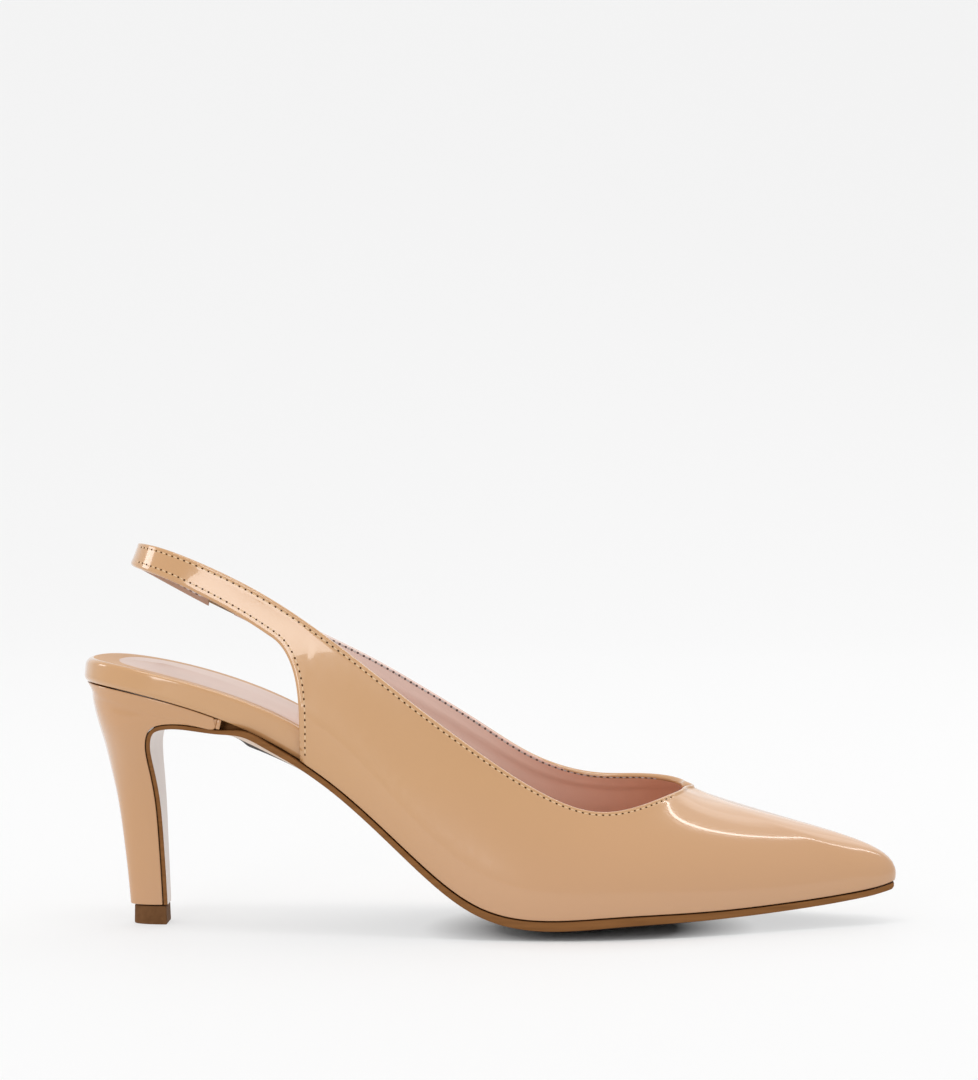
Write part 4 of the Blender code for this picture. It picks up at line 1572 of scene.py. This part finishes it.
@dataclass
class Outsole:
    """Outsole from the toe to the foot of the breast."""

    last: Last
    heel: Heel
    welt: float = 0.5 * MM
    seam: float = 0.3 * MM
    flap_wall: float = 1.2 * MM
    toe: float = 0.010
    rear: float = 0.215
    filler_gap: float = 1.6 * MM
    # Shares across, insets in millimetres and shares of the edge's thickness
    top_shares: tuple[float, ...] = (0.0, 0.4, 0.78, 0.80, 0.97, 1.0)
    filler_side: float = 0.78
    top_inset: float = 0.12
    edge_rows: Pairs = ((0.06, 0.02), (0.3, 0.0), (0.7, 0.0), (0.94, 0.03))
    tread_inset: float = 0.15
    tread_rows: int = 41
    off_tread: float = 2.0
    toe_round: float = 1.4 * MM
    toe_steps: int = 8
    waist_start: float = -0.045
    rim_share: float = 0.78
    sole_stations: int = 30
    flap_stations: int = 24
    sole_steps: int = 190
    flap_steps: int = 90

    def path(self) -> tuple[Array, Spline]:
        """Top line of the outsole.

        Returns:
            Length up to each station, and a curve of reach, height, outer edge, inner edge, edge
            thickness and crown.
        """
        last = self.last
        places = np.linspace(self.toe, last.place_of(self.rear), self.sole_stations)
        outer = last.outline.at(places) + self.welt * last.outward(places)
        inner = last.outline.at(2 - places) + self.welt * last.outward(2 - places)
        middle = (outer + inner) / 2 - self.seam * across_profile(last.travel(places))
        layers = last.layers.at(places)
        sole = np.column_stack([middle[:, [0, 2]], outer[:, 1], inner[:, 1], layers[:, :2]])
        front = np.column_stack(
            [
                self.heel.rand_back + HEEL["front"] * MM,
                HEEL["front_height"] * last.heel_height,
                HEEL["half_width"] * MM,
            ]
        )
        rows = Spline(range(len(front)), front)
        levels = np.linspace(len(front) - 1, 0, self.flap_stations)
        lip = rows.at(levels)
        step = rows.at(levels - last.tiny) - rows.at(levels + last.tiny)
        none = np.zeros(len(lip))
        clear = self.seam * across_profile(np.column_stack([step[:, 0], none, step[:, 1]]))
        reach, height = lip[:, 0] - clear[:, 0], lip[:, 1] - clear[:, 2]
        width = lip[:, 2] - self.seam
        flap = np.column_stack([reach, height, -width, width, none + self.flap_wall, none])
        rows = np.vstack([sole, flap])
        length = running_length(rows[:, :2])
        return length, Spline(length, rows)

    def section(self) -> tuple[Array, list[float]]:
        """Section of the outsole, once round.

        Returns:
            Rows of the share across, the share of the edge's thickness, the inset in millimetres and
            whether the filler lifts the point; and the share across of each tread face, or a number
            past one off the tread.
        """
        shares = (*(-share for share in self.top_shares[:0:-1]), *self.top_shares)
        top = [(share, 0.0, self.top_inset, float(abs(share) <= self.filler_side)) for share in shares]
        side = [(1.0, depth, inset, 0.0) for depth, inset in self.edge_rows]
        tread = [(share, 1.0, self.tread_inset, 0.0) for share in np.linspace(1, -1, self.tread_rows)]
        other = [(-1.0, *row[1:]) for row in reversed(side)]
        rows = np.array(top + side + tread + other + top[:1])
        first = len(top) + len(side)
        across = (rows[1:, 0] + rows[:-1, 0]) / 2
        on_tread = [first <= row < first + len(tread) - 1 for row in range(len(rows) - 1)]
        return rows, [float(share) if flat else self.off_tread for share, flat in zip(across, on_tread)]

    def build(self) -> None:
        """Make the outsole, filled up to the insole in front of the lip of the heel."""
        length, path = self.path()
        step = self.last.tiny * self.last.length
        turn = length[self.sole_stations] - self.filler_gap
        seat_start = self.last.outline.at(self.heel.seat_from)[0]
        section, across_faces = self.section()
        toe = np.linspace(0, self.toe_round, self.toe_steps + 1)[:-1]
        sole = np.linspace(self.toe_round, turn, self.sole_steps + 1)
        flap = np.linspace(turn + self.seam / 2, length[-1], self.flap_steps + 1)
        places = np.concatenate([toe, sole, flap])
        rows = []
        for place in places:
            reach, height, outer, inner, edge, crown = path.at(place)
            travel = path.at(place + step) - path.at(place - step)
            lift = across_profile(np.array([travel[0], 0, travel[1]]))
            gap = (float(self.heel.seat(np.array([reach]))[2][0]) - height) * lift[2] - self.seam
            filler = max(gap, 0.0) if place <= turn and reach < seat_start else 0.0
            middle = np.array([reach, (outer + inner) / 2, height])
            half = (inner - outer) / 2
            tip = math.sqrt(1 - max(1 - place / self.toe_round, 0.0) ** 2)
            ring = []
            for share, depth, inset, lifted in section:
                across = share * (half - inset * MM)
                crowned = crown * (1 - share**2) if depth == 1.0 else 0.0
                down = tip * (depth * edge + crowned) - lifted * filler
                ring.append(middle + np.array([0, across, 0]) - down * lift)
            rows.append(ring)
        points = np.array(rows)
        points[..., 2] = np.maximum(points[..., 2], 0)
        reaches = path.at(places)[:, 0]

        def slot(column: float, row: float) -> int:
            """Choose the slot of a face.

            Args:
                column: Share of the path.
                row: Share of the section.

            Returns:
                Number of the slot.
            """
            share = across_faces[min(int(row * len(across_faces)), len(across_faces) - 1)]
            station = min(int(column * (len(places) - 1)), len(places) - 2)
            if abs(share) > 1 or places[station] < self.toe_round:
                return SoleFace.EDGE.value
            if places[station] > turn:
                return SoleFace.FLAP.value
            # Inside the pale rim, the waist's dark tread is a painted shade line
            rim = reaches[station] < self.waist_start and abs(share) > self.rim_share
            return SoleFace.RIM.value if rim else SoleFace.TREAD.value

        mesh = on_grid(points, slot)
        close_ends(mesh)
        finishes = (SOLE_EDGE, SOLE_FACE, SOLE_TREAD_AND_SHADE, SOLE_RIM)
        make_piece("outsole_and_flap", mesh, finishes, "outsole", crease=45)


@dataclass
class SoftLight:
    """Flat light that faces the shoe; its long side runs along a given direction."""

    name: str
    azimuth: float
    elevation: float
    distance: float
    width: float
    height: float
    radiance: float
    target: Point = (0.0, 0.0, 0.05)
    along: Point = (0.0, 0.0, 1.0)

    def build(self) -> None:
        """Make the light."""
        away = direction(self.azimuth, self.elevation)
        data = bpy.data.lights.new(self.name, "AREA")
        data.shape = "RECTANGLE"
        data.size, data.size_y = self.width, self.height
        data.energy = self.radiance * math.pi * self.width * self.height
        lamp = bpy.data.objects.new(self.name, data)
        lamp.visible_camera = False
        side = Vector(self.along).cross(away).normalized()
        axes = Matrix((side, away.cross(side), away)).transposed().to_4x4()
        lamp.matrix_world = Matrix.Translation(Vector(self.target) + self.distance * away) @ axes
        bpy.context.scene.collection.objects.link(lamp)


@dataclass
class Stage:
    """White sweep, lights and the camera of the photograph."""

    floor_reach: float = 2.4
    sweep_start: float = 0.9
    sweep_radius: float = 0.8
    sweep_height: float = 2.6
    sweep_steps: int = 25
    ambient: float = 0.76
    azimuth: float = 2.5
    elevation: float = 6.2
    roll: float = -0.4
    distance: float = 1.2
    target: Point = (0.0, 0.0, 0.055)
    pixels_per_metre: float = 3335.0
    image_width: float = 978.0
    sensor: float = 36.0
    shift: float = 0.205

    def sweep(self) -> None:
        """Make the floor with its curved back."""
        turn = quarter_turn(self.sweep_steps)
        back = self.sweep_start + self.sweep_radius * np.sin(turn)
        bend = np.column_stack([back, self.sweep_radius * (1 - np.cos(turn))])
        profile = np.vstack([[-self.floor_reach, 0], bend, [bend[-1, 0], self.sweep_height]])
        columns = []
        for reach in (-self.floor_reach, 0.0, self.floor_reach):
            columns.append(np.column_stack([np.full(len(profile), reach), profile]))
        floor = add_object("sweep", on_grid(np.array(columns)), [SWEEP.material()])

    def lights(self) -> None:
        """Set the lights and the even light of the room."""
        world = bpy.data.worlds.new("room")
        world.use_nodes = True
        shade = world.node_tree.nodes["Background"]
        shade.inputs["Color"].default_value = (1, 1, 1, 1)
        shade.inputs["Strength"].default_value = self.ambient
        bpy.context.scene.world = world
        # Azimuth, elevation, distance, width, height and radiance, then the target and the long side
        lights = (
            SoftLight("key_left", -19.05, 14, 2.5, 0.75, 1.0, 4.3, (-0.05, -0.02, 0.09)),
            SoftLight("edge_left", -96, 17, 1.4, 0.44, 0.37, 4.0, (-0.11, 0.0, 0.105)),
            SoftLight("strip_top", 107, 56, 1.3, 0.035, 0.75, 8.0, (0.08, 0.0, 0.03), (0.17, 0.11, -0.14)),
            SoftLight("panel_back", 153, 35, 1.2, 0.98, 0.90, 0.36),
            SoftLight("panel_core", 147, 45, 1.2, 0.56, 0.54, 0.34),
            SoftLight("panel_side", 122, 55, 1.3, 0.60, 0.55, 0.5),
            SoftLight("top", 0, 82, 1.5, 0.35, 1.0, 5.0, (-0.06, 0.0, 0.05), (1.0, 0.0, 0.0)),
        )
        for light in lights:
            light.build()

    def camera(self) -> None:
        """Stand the camera where the photograph was taken."""
        away = direction(self.azimuth, self.elevation)
        data = bpy.data.cameras.new("photo_view")
        data.sensor_fit = "HORIZONTAL"
        data.sensor_width = self.sensor
        data.lens = self.sensor * self.pixels_per_metre * self.distance / self.image_width
        data.shift_y = self.shift
        eye = bpy.data.objects.new("photo_view", data)
        facing = (-away).to_track_quat("-Z", "Y").to_matrix().to_4x4()
        place = Matrix.Translation(Vector(self.target) + self.distance * away)
        eye.matrix_world = place @ facing @ Matrix.Rotation(math.radians(self.roll), 4, "Z")
        bpy.context.scene.collection.objects.link(eye)
        bpy.context.scene.camera = eye

    def build(self) -> None:
        """Make the stage."""
        bpy.context.scene.view_settings.view_transform = "Standard"
        self.camera()
        self.sweep()
        self.lights()


def main() -> None:
    """Dress the shoe, piece by piece, and set the stage."""
    logging.basicConfig(level=logging.INFO, format="%(name)s %(message)s")
    last = Last()
    upper = Upper(last)
    upper.build()
    Elastic(upper).build()
    Footbed(last).build()
    heel = Heel(last)
    heel.build()
    Outsole(last, heel).build()
    Stage().build()


if __name__ == "__main__":
    main()
